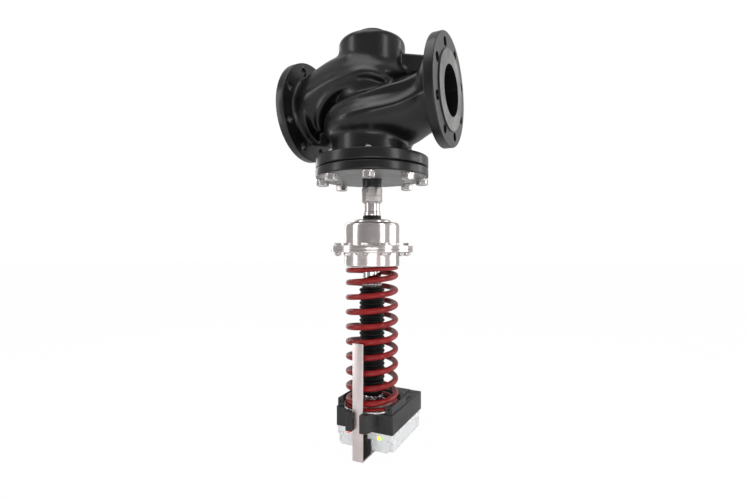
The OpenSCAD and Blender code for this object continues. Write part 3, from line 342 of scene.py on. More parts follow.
def bump(tree, height, strength, depth):
    return add(tree, "ShaderNodeBump", Height=height, Strength=strength,
               Distance=depth).outputs[0]


def coated(finish, skin, tones, edge, wear, strength, depth):
    """Give a finish the tones and the grain of a skin, worn edges and smudges."""
    material, tree, shader = finish
    tone = blended(tree, skin.outputs["Tone"], *tones)
    roughness = shader.inputs["Roughness"].default_value
    fill(tree, shader, Base_Color=blended(tree, placed(tree, worn_edges).outputs[0], tone, edge),
         Roughness=spread(tree, placed(tree, smudges).outputs[0], 0, 1, roughness,
                          roughness + wear),
         Normal=bump(tree, skin.outputs["Height"], strength, depth))
    return material


# %% [markdown]
# ### Black enamel on cast iron
# The casting is dipped in gloss black. The paint levels the sand's texture but doesn't hide
# it, and it pulls back a little from sharp edges, where it looks greyer.

# %% Black enamel


def enamel(name, dark, light, edge, roughness, depth, gloss=0.3, coat=0.2):
    finish = new_finish(name, 0, roughness, Coat_Weight=coat, Coat_Roughness=0.16,
                        Specular_IOR_Level=gloss)
    return coated(finish, placed(finish[1], cast_skin), (dark, light), edge, 0.1, 0.55, depth)


black_enamel = enamel("black enamel", colour(9, 9, 10), colour(18, 18, 19),
                      colour(56, 56, 58), 0.3, 0.0009)
# The bores get a near-black, dull finish with no coat: painted shade for the dark inside of the
# water ways.
bore_shade = enamel("painted shade in the water ways", colour(5, 5, 5), colour(10, 9, 9),
                   colour(20, 19, 18), 0.65, 0.0012, 0.12, 0.0)
cover_underside = enamel("grey machined cover", colour(98, 98, 98), colour(120, 120, 119),
                         colour(150, 150, 148), 0.42, 0.0005)

# %% [markdown]
# ### Steels
# Turned parts show rings that follow the lathe tool. Zinc plating is brighter, with a soft
# cloudiness. The drawn pots of the casing are polished, so they mirror the soft boxes.

# %% Steels


def steel(name, tint, shade, roughness, rings=0.0, per_metre=1800.0, wear=0.12):
    material, tree, shader = new_finish(name, 1, roughness)
    cloud = placed(tree, smudges, Scale=22.0)
    cut_marks = placed(tree, lathe_rings, Per_Metre=per_metre)
    tone = plus(tree, times(tree, cloud.outputs[0], 0.55),
                times(tree, cut_marks.outputs["Tone"], 0.45))
    scratch = noise(tree, object_place(tree), 900, 3)
    height = plus(tree, times(tree, cut_marks.outputs["Height"], rings),
                  times(tree, scratch, 0.12))
    fill(tree, shader, Base_Color=blended(tree, tone, tint, shade),
         Roughness=spread(tree, tone, 0, 1, roughness, roughness + wear),
         Normal=bump(tree, height, 0.35, 0.0002))
    return material


turned_steel = steel("turned steel", colour(176, 171, 169), colour(150, 145, 143), 0.24, 1.0, 900)
plated_steel = steel("zinc plated steel", colour(205, 201, 199), colour(178, 174, 172), 0.22)
drawn_steel = steel("polished drawn steel", colour(216, 208, 207), colour(198, 190, 189),
                    0.17, 0.5, 420, 0.08)
chromed_steel = steel("chromed steel", colour(206, 206, 210), colour(190, 190, 195), 0.08,
                      0.15, 600, 0.05)
brass = steel("turned brass", colour(201, 168, 98), colour(176, 142, 76), 0.26, 1.0, 900)
strip_steel = steel("satin rolled strip", colour(226, 215, 214), colour(210, 199, 198), 0.34)

# %% [markdown]
# ### The machined flange face
# The raised faces are turned under a thin black primer, so they read mid grey, and the spiral
# that the tool leaves for the gasket runs round the pipe, not round the spindle.

# %% Flange face
flange_face, tree, shader = new_finish("turned flange face", 0.75, 0.34)
xyz = add(tree, "ShaderNodeSeparateXYZ", Vector=object_place(tree)).outputs
grooves_per_metre = 1250
groove = maths(tree, "SINE", times(tree, off_line(tree, xyz["Y"], xyz["Z"]),
                                   2 * math.pi * grooves_per_metre))
cloud = placed(tree, smudges, Scale=30.0)
tone = blended(tree, cloud.outputs[0], colour(114, 114, 113), colour(148, 147, 145))
fill(tree, shader, Base_Color=tone, Normal=bump(tree, groove, 0.5, 0.0003))

# %% [markdown]
# ### Rubber, plastics and paint
# Rubber and the dark housing scatter light softly. The spring's red is a powder coat, which
# has the dimples of orange peel. The lower cover is a clear plastic that fogs what is behind it,
# and it carries a faint painted glow, even over its whole face, in place of light scattered
# inside it.

# %% Rubber and plastics


def moulding(name, tint, shade, roughness, scale, depth, **values):
    values.setdefault("Specular_IOR_Level", 0.26)
    finish = new_finish(name, 0, roughness, **values)
    edge = tuple(min(1.0, c * 1.9 + 0.01) for c in tint[:3]) + (1,)
    return coated(finish, placed(finish[1], moulded, Scale=scale), (tint, shade), edge, 0.12,
                  0.4, depth)


black_rubber = moulding("moulded rubber", colour(8, 9, 9), colour(14, 15, 15), 0.38, 900.0,
                        0.0003, Specular_IOR_Level=0.2)
housing_plastic = moulding("textured housing", colour(28, 28, 29), colour(38, 38, 39), 0.46,
                           1700.0, 0.0003, Specular_IOR_Level=0.45)
black_block = moulding("smooth black block", colour(8, 6, 6), colour(14, 12, 11), 0.34, 500.0,
                       0.0002, Specular_IOR_Level=0.1)
red_coat = moulding("red powder coat", colour(120, 11, 13), colour(138, 17, 19), 0.32, 420.0,
                    0.0004, Coat_Weight=0.12, Coat_Roughness=0.14)
green_board = moulding("solder mask", colour(18, 84, 48), colour(28, 104, 60), 0.3, 800.0, 0.0002)

# %% Clear plastic
# The faint emission is a painted glow: the whole cover shines evenly in its own pale tint, in
# place of light scattered inside it.
clear_plastic, tree, shader = new_finish("frosted clear plastic", 0, 0.3, IOR=1.46,
                                         Transmission_Weight=0.6, Emission_Strength=0.05)
texture = placed(tree, moulded, Scale=900.0)
pale_tint_and_painted_glow = blended(tree, texture.outputs["Tone"], colour(248, 249, 251), colour(254, 254, 255))
fill(tree, shader, Base_Color=pale_tint_and_painted_glow, Emission_Color=pale_tint_and_painted_glow,
     Roughness=spread(tree, texture.outputs["Tone"], 0, 1, 0.24, 0.36),
     Normal=bump(tree, texture.outputs["Height"], 0.2, 0.0002))

# %% Lamps


def lamp_finish(name, tint, glow):
    material, tree, shader = new_finish(name, 0, 0.2, Emission_Strength=glow)
    texture = placed(tree, moulded, Scale=600.0)
    darker = tuple(c * 0.7 for c in tint[:3]) + (1,)
    mixed = blended(tree, texture.outputs["Tone"], tint, darker)
    fill(tree, shader, Base_Color=mixed, Emission_Color=mixed)
    return material


lamp_red = lamp_finish("red lamp", colour(255, 70, 66), 1.2)
lamp_yellow = lamp_finish("yellow lamp", colour(252, 246, 60), 1.2)
lamp_green = lamp_finish("green lamp", colour(110, 240, 110), 1.1)
print("finishes", len(bpy.data.materials))

# %% Slots
finishes = {"black_enamel": black_enamel, "machined_steel": turned_steel,
            "plated_steel": plated_steel, "polished_steel": drawn_steel,
            "chromed_steel": chromed_steel, "brass": brass, "black_rubber": black_rubber,
            "red_spring": red_coat, "satin_strip": strip_steel, "black_block": black_block,
            "housing_plastic": housing_plastic, "clear_plastic": clear_plastic,
            "board": green_board, "lamp_red": lamp_red, "lamp_yellow": lamp_yellow,
            "lamp_green": lamp_green}

# %% [markdown]
# ## Mesh tools
# Nearly every part of a valve is turned, so the main tool spins an outline round the spindle.
# Its corners are rounded first: real edges are never sharp, and the small round is what
# catches the light. Nuts and threads are the same idea with a radius that changes by angle.

# %% Mesh tools


def painted(mesh, flat, *materials):
    """Smooth a mesh over all edges up to an angle, and give it its finishes."""
    mesh.polygons.foreach_set("use_smooth", [True] * len(mesh.polygons))
    mesh.set_sharp_from_angle(angle=math.radians(flat))
    mesh.materials.clear()
    for material in materials:
        mesh.materials.append(material)


def make_piece(name, parts, material, body, *nodes, flat=38, weld=1e-6):
    """One object from several (points in mm, faces) parts, riding on a body for CAD nodes."""
    points, faces, start = [], [], 0
    for part_points, part_faces in parts:
        points.append(in_frame(part_points))
        faces += [tuple(i + start for i in face) for face in part_faces]
        start += len(part_points)
    mesh = bpy.data.meshes.new(name)
    mesh.from_pydata(np.concatenate(points).tolist(), [], faces)
    return dress(name, mesh, material, body, *nodes, flat=flat, weld=weld)


def dress(name, mesh, material, body, *nodes, slot=None, flat=38, weld=1e-6):
    """Clean a mesh, give it its finish, hang it on its body and hide the CAD nodes that it stands
    for.
    """
    bm = bmesh.new()
    bm.from_mesh(mesh)
    if weld:
        bmesh.ops.remove_doubles(bm, verts=bm.verts, dist=weld)
    loose = [e for e in bm.edges if not e.link_faces]
    bmesh.ops.delete(bm, geom=loose, context="EDGES")
    bmesh.ops.recalc_face_normals(bm, faces=bm.faces)
    bm.to_mesh(mesh)
    bm.free()
    painted(mesh, flat, material)
    ob = bpy.data.objects.new(name, mesh)
    bpy.context.collection.objects.link(ob)
    if body:
        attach(ob, body)
    if nodes:
        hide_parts(*nodes)
    print(name, len(mesh.polygons), "faces")
    return ob


def softened(outline, steps=4):
    """An outline with its corners rounded; a corner is (r, z) or (r, z, round)."""
    out = []
    for i, corner in enumerate(outline):
        tip = np.array(corner[:2], float)
        if len(corner) < 3:
            out.append(tip)
            continue
        back = np.array(outline[i - 1][:2], float) - tip
        on = np.array(outline[(i + 1) % len(outline)][:2], float) - tip
        cut = min(corner[2], 0.45 * np.linalg.norm(back), 0.45 * np.linalg.norm(on))
        a, b = tip + back / np.linalg.norm(back) * cut, tip + on / np.linalg.norm(on) * cut
        for t in np.linspace(0, 1, steps + 1):
            out.append(a * (1 - t) ** 2 + tip * 2 * t * (1 - t) + b * t * t)
    return np.array(out)


def net(rows, n, closed=False):
    """Four-sided faces over rows of n points; each row is a ring, and so is a closed stack."""
    return [(j * n + i, j * n + (i + 1) % n, (j + 1) % rows * n + (i + 1) % n,
             (j + 1) % rows * n + i) for j in range(rows if closed else rows - 1)
            for i in range(n)]


def ring(r0, r1, z0, z1, low=0, high=0):
    """The outline of a plain ring, with rounds on its two outer edges."""
    edges = ((r1, z0, low), (r1, z1, high))
    return [(r0, z0)] + [edge if edge[2] else edge[:2] for edge in edges] + [(r0, z1)]


def turned(outline, sides=96):
    """The solid that a closed outline (r, z) makes when it spins round the spindle."""
    line = softened(outline)
    a = np.linspace(0, 2 * math.pi, sides, endpoint=False)
    points = np.stack([np.outer(np.cos(a), line[:, 0]), np.outer(np.sin(a), line[:, 0]),
                       np.tile(line[:, 1], (sides, 1))], axis=2).reshape(-1, 3)
    return points, net(sides, len(line), closed=True)


def skinned(radius_at, heights, sides):
    """A bar whose radius depends on angle and height, closed at both ends."""
    a = np.linspace(0, 2 * math.pi, sides, endpoint=False)
    rows = []
    for z in heights:
        r = radius_at(a, z)
        rows.append(np.stack([r * np.cos(a), r * np.sin(a), np.full(sides, z)], axis=1))
    points = np.concatenate(rows + [[[0, 0, heights[0]], [0, 0, heights[-1]]]])
    faces = net(len(heights), sides)
    low, high = len(points) - 2, len(points) - 1
    last = (len(heights) - 1) * sides
    faces += [(low, (i + 1) % sides, i) for i in range(sides)]
    faces += [(high, last + i, last + (i + 1) % sides) for i in range(sides)]
    return points, faces


def polygon_bar(across, z0, z1, corners=6, chamfers=(True, True), turn=0.0):
    """A nut or a bolt's head: a prism whose corners are turned off at 30 degrees."""
    half = across / 2
    corner = half / math.cos(math.pi / corners)
    drop = (corner - 0.95 * half) * math.tan(math.radians(30))
    steps = [0, 0.25, 0.5, 0.75, 1]
    heights = [z0 + drop * t for t in steps] + [z1 - drop * t for t in reversed(steps)]

    def radius_at(a, z):
        inside = (a - turn) % (2 * math.pi / corners) - math.pi / corners
        flat = half / np.cos(inside)
        tip = min(z - z0 if chamfers[0] else corner, z1 - z if chamfers[1] else corner)
        return np.minimum(flat, 0.95 * half + tip / math.tan(math.radians(30)))

    return skinned(radius_at, heights, corners * 8)


def threaded_bar(d, pitch, z0, z1, sides=40):
    """A threaded end with a turned point, as a wave that climbs with the angle."""
    deep = 0.54 * pitch
    count = max(4, int(abs(z1 - z0) / pitch * 6))

    def radius_at(a, z):
        wave = np.abs(((z / pitch - a / (2 * math.pi)) % 1) * 2 - 1)
        point = min(z - z0, z1 - z) + 0.35 * d
        return np.minimum(d / 2 - deep * (1 - wave), point)

    return skinned(radius_at, np.linspace(z0, z1, count), sides)


def block(low, high):
    """A plain box between two corners."""
    points = [(x, y, z) for x in (low[0], high[0]) for y in (low[1], high[1])
              for z in (low[2], high[2])]
    return points, [(0, 1, 3, 2), (4, 6, 7, 5), (0, 4, 5, 1), (2, 3, 7, 6), (0, 2, 6, 4),
                    (1, 5, 7, 3)]


def moved(part, x=0.0, y=0.0, z=0.0, turn=0.0):
    points, faces = part
    c, s = math.cos(turn), math.sin(turn)
    p = np.array(points, float)
    return np.stack([p[:, 0] * c - p[:, 1] * s + x, p[:, 0] * s + p[:, 1] * c + y,
                     p[:, 2] + z], axis=1), faces


def ringed(part, count, radius, start=0.0):
    """Copies of a part round the spindle, the first at the start angle."""
    return [moved(moved(part, x=radius), turn=start + 2 * math.pi * i / count)
            for i in range(count)]


# %% [markdown]
# ## Cast body
# Sand-cast forms flow into each other, which boxes and cylinders can't show. The body could be
# sculpted, or skinned over curves. Here it is a distance field: each passage, the dome, the
# neck and the webs is a formula for the distance to it, and a soft minimum fills the corners
# between them just as the pattern maker's fillets do. A grid of that field is then skinned.

# %% Distance tools


def soft_union(a, b, fillet):
    h = np.clip(0.5 + 0.5 * (b - a) / fillet, 0, 1)
    return b + (a - b) * h - fillet * h * (1 - h)


def can(across, along, radius, low, high, edge):
    """Distance to a round bar with rounded rims."""
    out = across - radius + edge
    up = np.abs(along - (low + high) / 2) - (high - low) / 2 + edge
    return np.minimum(np.maximum(out, up), 0) + np.hypot(np.maximum(out, 0),
                                                         np.maximum(up, 0)) - edge


def passage(stations, grid, low_x, high_x):
    """Distance to a pipe whose section is (x, centre, up, down, half width) at each station."""
    x, y, z = grid
    table = np.array(sorted(stations), float)
    fine = np.arange(-200, 201, 2.0)
    bell = np.exp(-0.5 * (np.arange(-8, 9) * 2.0 / 7) ** 2)
    shape = []
    for column in table.T[1:]:
        line = np.interp(fine, table[:, 0], column)
        line = np.convolve(np.pad(line, 8, mode="edge"), bell / bell.sum(), mode="valid")
        shape.append(np.interp(x, fine, line))
    centre, up, down, wide = shape
    rise = z - centre
    half = np.where(rise > 0, up, down)
    k0 = np.sqrt((y / wide) ** 2 + (rise / half) ** 2)
    k1 = np.sqrt((y / wide ** 2) ** 2 + (rise / half ** 2) ** 2)
    d = k0 * (k0 - 1) / np.maximum(k1, 1e-4)
    return np.maximum(d, np.maximum(x - high_x, low_x - x))


def cord_ridge(path, radius, grid):
    """Distance to a round cord that runs smoothly past some points."""
    x, y, z = grid
    best = None
    path = np.array(path, float)
    for _ in range(2):
        early, late = 0.75 * path[:-1] + 0.25 * path[1:], 0.25 * path[:-1] + 0.75 * path[1:]
        inner = np.stack([early, late], axis=1).reshape(-1, 3)
        path = np.concatenate([path[:1], inner, path[-1:]])
    for a, b in zip(path[:-1], path[1:]):
        way = b - a
        t = ((x - a[0]) * way[0] + (y - a[1]) * way[1] + (z - a[2]) * way[2]) / (way @ way)
        t = np.clip(t, 0, 1)
        d = np.sqrt((x - a[0] - t * way[0]) ** 2 + (y - a[1] - t * way[1]) ** 2
                    + (z - a[2] - t * way[2]) ** 2) - radius
        best = d if best is None else np.minimum(best, d)
    return best


def ridged(field, ridges, fillet, grid):
    """The field with cords run into it, each on the front and mirrored on the back."""
    for ridge in ridges:
        for side in (1, -1):
            path = [(x, y * side, z) for x, y, z in ridge]
            field = soft_union(field, cord_ridge(path, 6, grid), fillet)
    return field


def plate(corners, half_thick, grid):
    """Distance to an upright plate with convex corners (x, z) in anticlockwise order."""
    x, y, z = grid
    d = np.abs(y) - half_thick
    for (x0, z0), (x1, z1) in zip(corners, corners[1:] + corners[:1]):
        length = math.hypot(x1 - x0, z1 - z0)
        d = np.maximum(d, ((x - x0) * (z1 - z0) - (z - z0) * (x1 - x0)) / length)
    return d


# %% Skin of a field


def without_crossings(field):
    """Fill the places where two sheets would share an edge, so the skin stays closed."""
    halves = (slice(0, -1), slice(1, None))
    for _ in range(12):
        fixes = 0
        for u, v in ((0, 1), (0, 2), (1, 2)):
            view = np.moveaxis(field, (u, v), (0, 1))
            parts = [view[a, b] for a in halves for b in halves]
            low, left, right, high = [part < 0 for part in parts]
            crossed = (low == high) & (left == right) & (low != left)
            fixes += int(crossed.sum())
            for part in parts:
                part[crossed & (part >= 0)] = -0.05
        if not fixes:
            break
    return field


def skin_of(field, origin, step):
    """Points and four-sided faces of the surface where the field is zero."""
    inside = field < 0
    nx, ny, nz = field.shape
    count = sum(inside[i:nx - 1 + i, j:ny - 1 + j, k:nz - 1 + k].astype(np.int8)
                for i in (0, 1) for j in (0, 1) for k in (0, 1))
    active = (count > 0) & (count < 8)
    index = np.full(active.shape, -1)
    cells = np.argwhere(active)
    index[active] = np.arange(len(cells))
    total, hits = np.zeros((len(cells), 3)), np.zeros(len(cells))
    for axis in range(3):
        u, v = [n for n in range(3) if n != axis]
        for du in (0, 1):
            for dv in (0, 1):
                low = cells.copy()
                low[:, u] += du
                low[:, v] += dv
                high = low.copy()
                high[:, axis] += 1
                f0, f1 = field[tuple(low.T)], field[tuple(high.T)]
                cross = (f0 < 0) != (f1 < 0)
                point = low.astype(float)
                point[:, axis] += np.where(cross, f0 / np.where(cross, f0 - f1, 1), 0)
                total += np.where(cross[:, None], point, 0)
                hits += cross
    points = np.asarray(origin) + step * total / hits[:, None]
    faces = []
    for axis in range(3):
        u, v = [n for n in range(3) if n != axis]
        near = [slice(1, -1)] * 3
        near[axis] = slice(0, -1)
        far = list(near)
        far[axis] = slice(1, None)
        edges = np.argwhere(inside[tuple(near)] != inside[tuple(far)])
        edges[:, u] += 1
        edges[:, v] += 1
        corner = []
        for du, dv in ((1, 1), (0, 1), (0, 0), (1, 0)):
            cell = edges.copy()
            cell[:, u] -= du
            cell[:, v] -= dv
            corner.append(index[tuple(cell.T)])
        quads = np.stack(corner, axis=1)
        turn = inside[tuple(edges.T)] == (axis == 1)
        quads[turn] = quads[turn][:, ::-1]
        faces.append(quads)
    return points, np.concatenate(faces)


# %% Field of the casting
step = 2.0
x = np.arange(-158, 158 + step, step, dtype=np.float32)[:, None, None]
y = np.arange(-112, 112 + step, step, dtype=np.float32)[None, :, None]
z = np.arange(-134, 154 + step, step, dtype=np.float32)[None, None, :]
grid = (x, y, z)
from_spindle = np.hypot(x, y)
from_pipe = np.hypot(y, z)

dome_r, dome_top, port_r = 71, 130, 50
upper = [(-150, 0, 72, 70, 72), (-128, 8, 81, 56, 74), (-106, 17, 80, 55, 76),
         (-83, 25, 80, 51, 78), (-64, 32, 76, 44, 80), (-30, 38, 75, 30, 82), (0, 38, 74, 18, 82)]
upper += [(s, 38, 74 - 29 * s / 40 if s < 40 else 45 - 25 * (s - 40) / 42, 13,
           math.sqrt(max(82 ** 2 - s ** 2, 30))) for s in (20, 40, 55, 66, 74, 80, 82)]
lower = [(150, 0, 44, 66, 66), (123, -15, 55, 61, 70), (87, -35, 73, 58, 82),
         (40, -52, 70, 45, 98), (0, -57, 68, 40, 104)]
lower += [(-s, -57, 68 - 18 * s / 70 if s < 70 else 50 - 30 * (s - 70) / 34, 40 - 22 * s / 104,
           math.sqrt(max(104 ** 2 - s ** 2, 30))) for s in (25, 50, 70, 85, 95, 101, 104)]

body = can(from_spindle, z, dome_r, 20, dome_top, 12)
body = soft_union(body, can(from_spindle, z, 36, 110, 147.7, 3), 6)
body = soft_union(body, can(from_spindle, z, 74, -60, 50, 6), 10)
body = soft_union(body, passage(upper, grid, -150, 82), 9)
belly = passage(lower, grid, -104, 150)
belly = ridged(belly, (
    [(135, -51, 25), (106, -68, 3), (67, -77, -3), (12, -80, -12), (-43, -76, -20),
     (-61, -74, -38), (-80, -48, -52)],
    [(138, -62, -12), (114, -73, -29), (85, -83, -41), (27, -99, -49), (-21, -99, -54),
     (-58, -70, -58)]), 12, grid)
body = soft_union(body, belly, 12)
body = ridged(body, (
    [(-140, -62, 4), (-105, -70, 16), (-60, -76, 28), (0, -79, 36), (25, -76, 38),
     (52, -62, 28), (64, -40, 16)],
    [(-138, -42, 55), (-100, -48, 66), (-60, -55, 74), (-20, -66, 72)],
    [(0, -69, 20), (-20, -72, 19), (-48, -71, 15), (-77, -66, 2), (-100, -54, -19),
     (-114, -36, -36), (-120, -18, -42)]), 10, grid)
body = soft_union(body, can(from_spindle, z, 85, -128, -60, 2), 9)
web = [(50, -8), (156, 10), (156, 70), (62, 96)]
body = soft_union(body, plate(web, 7, grid), 7)
body = soft_union(body, plate([(-a, -b) for a, b in web], 7, grid), 7)
for side in (1, -1):
    body = soft_union(body, can(from_pipe, side * x, 70, 130, 160, 2), 8)
    body = soft_union(body, can(from_pipe, side * x, 106, 153.6, 170, 1), 9)
body = soft_union(body, can(from_spindle, z, 117, -150, -121, 1), 7)

# %% [markdown]
# The water ways are cut out of the field: the two bores, the space under the dome and the
# space over the cover. The wall between them stays, with a hole for the seat.

# %% Water ways
bore = np.maximum(from_pipe - port_r + 0.6, 62 - np.abs(x))
hollow = can(from_spindle, z, dome_r - 11, 6, dome_top - 11, 10)
low_space = can(from_spindle, z, 76, -170, -8, 12)
rise_way = passage([(-140, 0, 49, 49, 49), (-100, 8, 49, 46, 49), (-60, 26, 50, 32, 52),
                    (-20, 40, 40, 30, 50)], grid, -140, -20)
fall_way = passage([(140, 0, 49, 49, 49), (100, -10, 44, 49, 49), (60, -34, 26, 46, 60),
                    (20, -52, 30, 36, 60)], grid, 20, 140)
hollow = soft_union(hollow, rise_way, 8)
low_space = soft_union(low_space, fall_way, 8)
seat_hole = can(from_spindle, z, 58, -20, 20, 1)
wall = 9
space = np.maximum(np.minimum(hollow, low_space), body + wall)
space = np.minimum(space, np.maximum(np.minimum(seat_hole, bore), body + wall / 2))
space = np.minimum(space, can(from_spindle, z, 76, -170, -110, 1))
body = np.maximum(body, -space)
rim = np.ones_like(body, dtype=bool)
rim[1:-1, 1:-1, 1:-1] = False
body = np.where(rim, np.maximum(body, step / 2), body)
points, faces = skin_of(without_crossings(body), (x.min(), y.min(), z.min()), step)
print("casting skin", len(points), "points")

# %% [markdown]
# The flanges are turned and drilled after casting, so they are crisp. They are spun as
# separate outlines, joined to the casting, and then the bolt holes and bores are cut through
# both at once.

# %% Flanges


def along_pipe(part, side):
    """A part round the spindle, laid along the pipe instead."""
    points, faces = part
    p = np.array(points, float)
    return np.stack([p[:, 2] * side, p[:, 0], p[:, 1] * side], axis=1), faces


def cut_with(ob, parts, operation):
    """Join or cut with closed parts, and keep the result as plain mesh."""
    tool = make_piece("cutter", parts, black_enamel, None)
    boolean = ob.modifiers.new(operation, "BOOLEAN")
    boolean.operation = operation
    boolean.solver = "MANIFOLD"
    boolean.object = tool
    graph = bpy.context.evaluated_depsgraph_get()
    mesh = bpy.data.meshes.new_from_object(ob.evaluated_get(graph))
    ob.modifiers.clear()
    old = ob.data
    ob.data = mesh
    bpy.data.meshes.remove(old)
    bpy.data.objects.remove(tool)
    print(operation, "leaves", len(mesh.polygons), "faces")


flange_r, flange_back, half_length = 110, 153, 175
pipe_flange = turned([(20, flange_back), (flange_r, flange_back, 2), (flange_r, 172, 2),
                      (79, 172, 0.6), (79, half_length, 1.2), (20, half_length)], 144)
cover_r = 120.5
body_flange = turned(ring(60, cover_r, -142, -120, 3.4, 2.4), 160)
casting = make_piece("cast_body", [(points, faces.tolist())], black_enamel, "valve",
                     "valve_body", flat=180, weld=0)
bm = bmesh.new()
bm.from_mesh(casting.data)
for _ in range(3):
    bmesh.ops.smooth_vert(bm, verts=bm.verts, factor=0.5, use_axis_x=True, use_axis_y=True,
                          use_axis_z=True)
bm.to_mesh(casting.data)
bm.free()
for side in (1, -1):
    cut_with(casting, [along_pipe(pipe_flange, side)], "UNION")
cut_with(casting, [body_flange], "UNION")
flange_count, flange_circle, hole_r, drill_from = 8, 90, 9.5, 132
cover_count, cover_circle, first = 8, 107, math.radians(22.5)
drills = []
for side in (1, -1):
    bit = turned(ring(0, hole_r, 152, 180), 32)
    reamer = turned(ring(0, port_r, drill_from, 180), 128)
    for drill in ringed(bit, flange_count, flange_circle, first) + [reamer]:
        drills.append(along_pipe(drill, side))
drills += ringed(turned(ring(0, 8.2, -150, -110), 24), cover_count, cover_circle, first)
drills.append(turned(ring(0, 76, -150, -122)))
cut_with(casting, drills, "DIFFERENCE")
mesh = casting.data
# The raised faces get the turned finish, and the bore faces get the near-black painted shade.
painted(mesh, 40, black_enamel, flange_face, bore_shade)
for face in mesh.polygons:
    out = abs(face.center.x - axis_x) / MM
    if abs(face.normal.x) > 0.99 and abs(out - half_length) < 0.2:  # the raised faces
        face.material_index = 1
    elif out > 60 and math.hypot(*face.center.yz) < (port_r + 0.5) * MM:  # the bores
        face.material_index = 2
print("casting", len(mesh.polygons), "faces")

# %% [markdown]
# ## Pieces that keep the CAD shape
# Plates, covers and housings are already right in the CAD model, but their edges are sharp.
# A copy of the CAD mesh with its flat faces merged and its edges bevelled gives them the small
# rounds of a real moulding or a turned part. Where the photo shows less, the copy is cut first.

# %% Bevelled copies


def from_cad(node, material, body, round_mm, slot=None, name=None, cuts=()):
    """A copy of a CAD node with merged flats and bevelled edges, standing for the node."""
    source = frame["nodes"][node]
    mesh = source.data.copy()
    mesh.transform(source.matrix_world)
    bm = bmesh.new()
    bm.from_mesh(mesh)
    bmesh.ops.remove_doubles(bm, verts=bm.verts, dist=2e-6)
    if cuts:
        bm.to_mesh(mesh)
        blank = bpy.data.objects.new("blank", mesh)
        bpy.context.collection.objects.link(blank)
        for operation, part in cuts:
            cut_with(blank, [part], operation)
        mesh = blank.data
        bpy.data.objects.remove(blank)
        bm.clear()
        bm.from_mesh(mesh)
    bmesh.ops.dissolve_limit(bm, angle_limit=math.radians(1.5), verts=bm.verts, edges=bm.edges)
    sharp = [e for e in bm.edges if len(e.link_faces) == 2
             and e.calc_face_angle(0) > math.radians(34)]
    bmesh.ops.bevel(bm, geom=sharp, offset=round_mm * MM, segments=2, affect="EDGES",
                    profile=0.5, clamp_overlap=True)
    bm.to_mesh(mesh)
    bm.free()
    return dress(name or node + "_shape", mesh, material, body, node, slot=slot)


# %% [markdown]
# ## Cover and its bolts
# The cover is a machined disc with a stub for the actuator's union. Its bolts carry hexagon
# heads below and show their threaded ends above the body flange.

# %% Cover
cover_low, cover_high = -163.0, -143.5
stub_r, stub_end = 20.5, -180.0
cover = make_piece("cover_disc", [turned([
    (22, cover_low), (114, cover_low, 3), (cover_r, cover_low + 1.5, 3),
    (cover_r, cover_high, 3.4), (22, cover_high)], 160)], black_enamel, "valve")
make_piece("cover_stub", [turned(ring(8, stub_r, stub_end, cover_low + 2, 1.2))],
           black_enamel, "valve", "bonnet_cover")
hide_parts("bonnet_cover")
cover.data.materials.append(cover_underside)
for face in cover.data.polygons:
    if face.normal.z < -0.9 and face.center.z < (cover_low + 1) * MM:
        face.material_index = 1
make_piece("cover_gasket_ring", [turned(ring(77, 115, -143.5, -142, 0.3, 0.3), 128)],
           black_rubber, "valve", "cover_gasket")

# %% Cover bolts
bolt = [polygon_bar(23.8, -176.1, -166.2, turn=0.2, chamfers=(True, False)),
        moved(threaded_bar(16, 2, -46, 0), z=-114.2)]
shank = turned(ring(0, 7.2, -166.4, -158), 24)
bolts = [copy for part in bolt + [shank]
         for copy in ringed(part, cover_count, cover_circle, first)]
make_piece("cover_bolt_set", bolts, plated_steel, "valve", "cover_bolts")
washer = turned(ring(8.6, 13.2, -166, -163.1, 0.6, 0.6), 40)
make_piece("cover_washer_set", ringed(washer, cover_count, cover_circle, first),
           plated_steel, "valve", "cover_washers")

# %% [markdown]
# ## Union and neck
# The actuator is fixed by a union nut, turned from hexagon bar with its corners chamfered. Its
# neck is a polished tube with a collar, over a rubber ring that seals it to the casing.

# %% Union and neck
make_piece("union_nut_turned", [polygon_bar(38.6, -213, -180, turn=0.42),
    turned([(16, -215.2), (18.2, -215.2, 0.6), (18.4, -212.5, 0.4), (16, -212.5)])],
    turned_steel, "valve", "union_nut")
neck = turned([(8, -232), (16.5, -232), (16.5, -214, 1.5), (15.2, -206), (8, -206)])
collar = turned([(8, -241), (18.25, -241, 0.8), (18.25, -233.5, 0.6), (17.4, -232.6, 0.4),
                 (17.4, -231.6, 0.4), (8, -231.6)])
spigot = turned(ring(8, 14, -266, -240, 0.6))
make_piece("neck_tube", [neck, collar, spigot], drawn_steel, "valve", "actuator_neck")
make_piece("neck_seal_ring", [turned(ring(14.3, 19.5, -250, -241, 1.4, 1.4))],
           black_rubber, "valve", "neck_ring")

# %% [markdown]
# ## Diaphragm casing
# Two deep-drawn steel pots are clamped rim to rim over the diaphragm by a ring of small bolts.
# Drawing leaves a generous shoulder on the upper pot, and the polish mirrors the studio.

# %% Casing pots
wall = 1.5
pot_r, rim_r = 58.7, 87.5
upper = [(14.4, -250.2), (38, -250.2, 2.4), (41, -252.6, 1.6), (41, -256.2, 1.2),
         (pot_r, -256.2, 9), (pot_r, -305.4, 2.4), (rim_r, -305.4, 0.8), (rim_r, -313.3, 0.5),
         (rim_r - 1.2, -313.3), (rim_r - 1.2, -310.4), (pot_r - 2, -310.4),
         (pot_r - wall, -300), (pot_r - wall, -257.8, 7), (14.4, -257.8)]
lower = [(pot_r - 2, -313.6), (rim_r, -313.6, 0.6), (rim_r, -318.9, 0.8), (pot_r, -318.9, 2.4),
         (pot_r, -349, 3.2), (25.2, -349, 0.4), (25.2, -346.5), (pot_r - wall, -346.5, 2),
         (pot_r - wall, -324)]
make_piece("upper_pot", [turned(upper, 144)], drawn_steel, "valve", "upper_casing")
make_piece("lower_pot", [turned(lower, 144), turned(ring(25.1, 28, -348.9, -331, 0.5))],
           drawn_steel, "valve", "lower_casing")

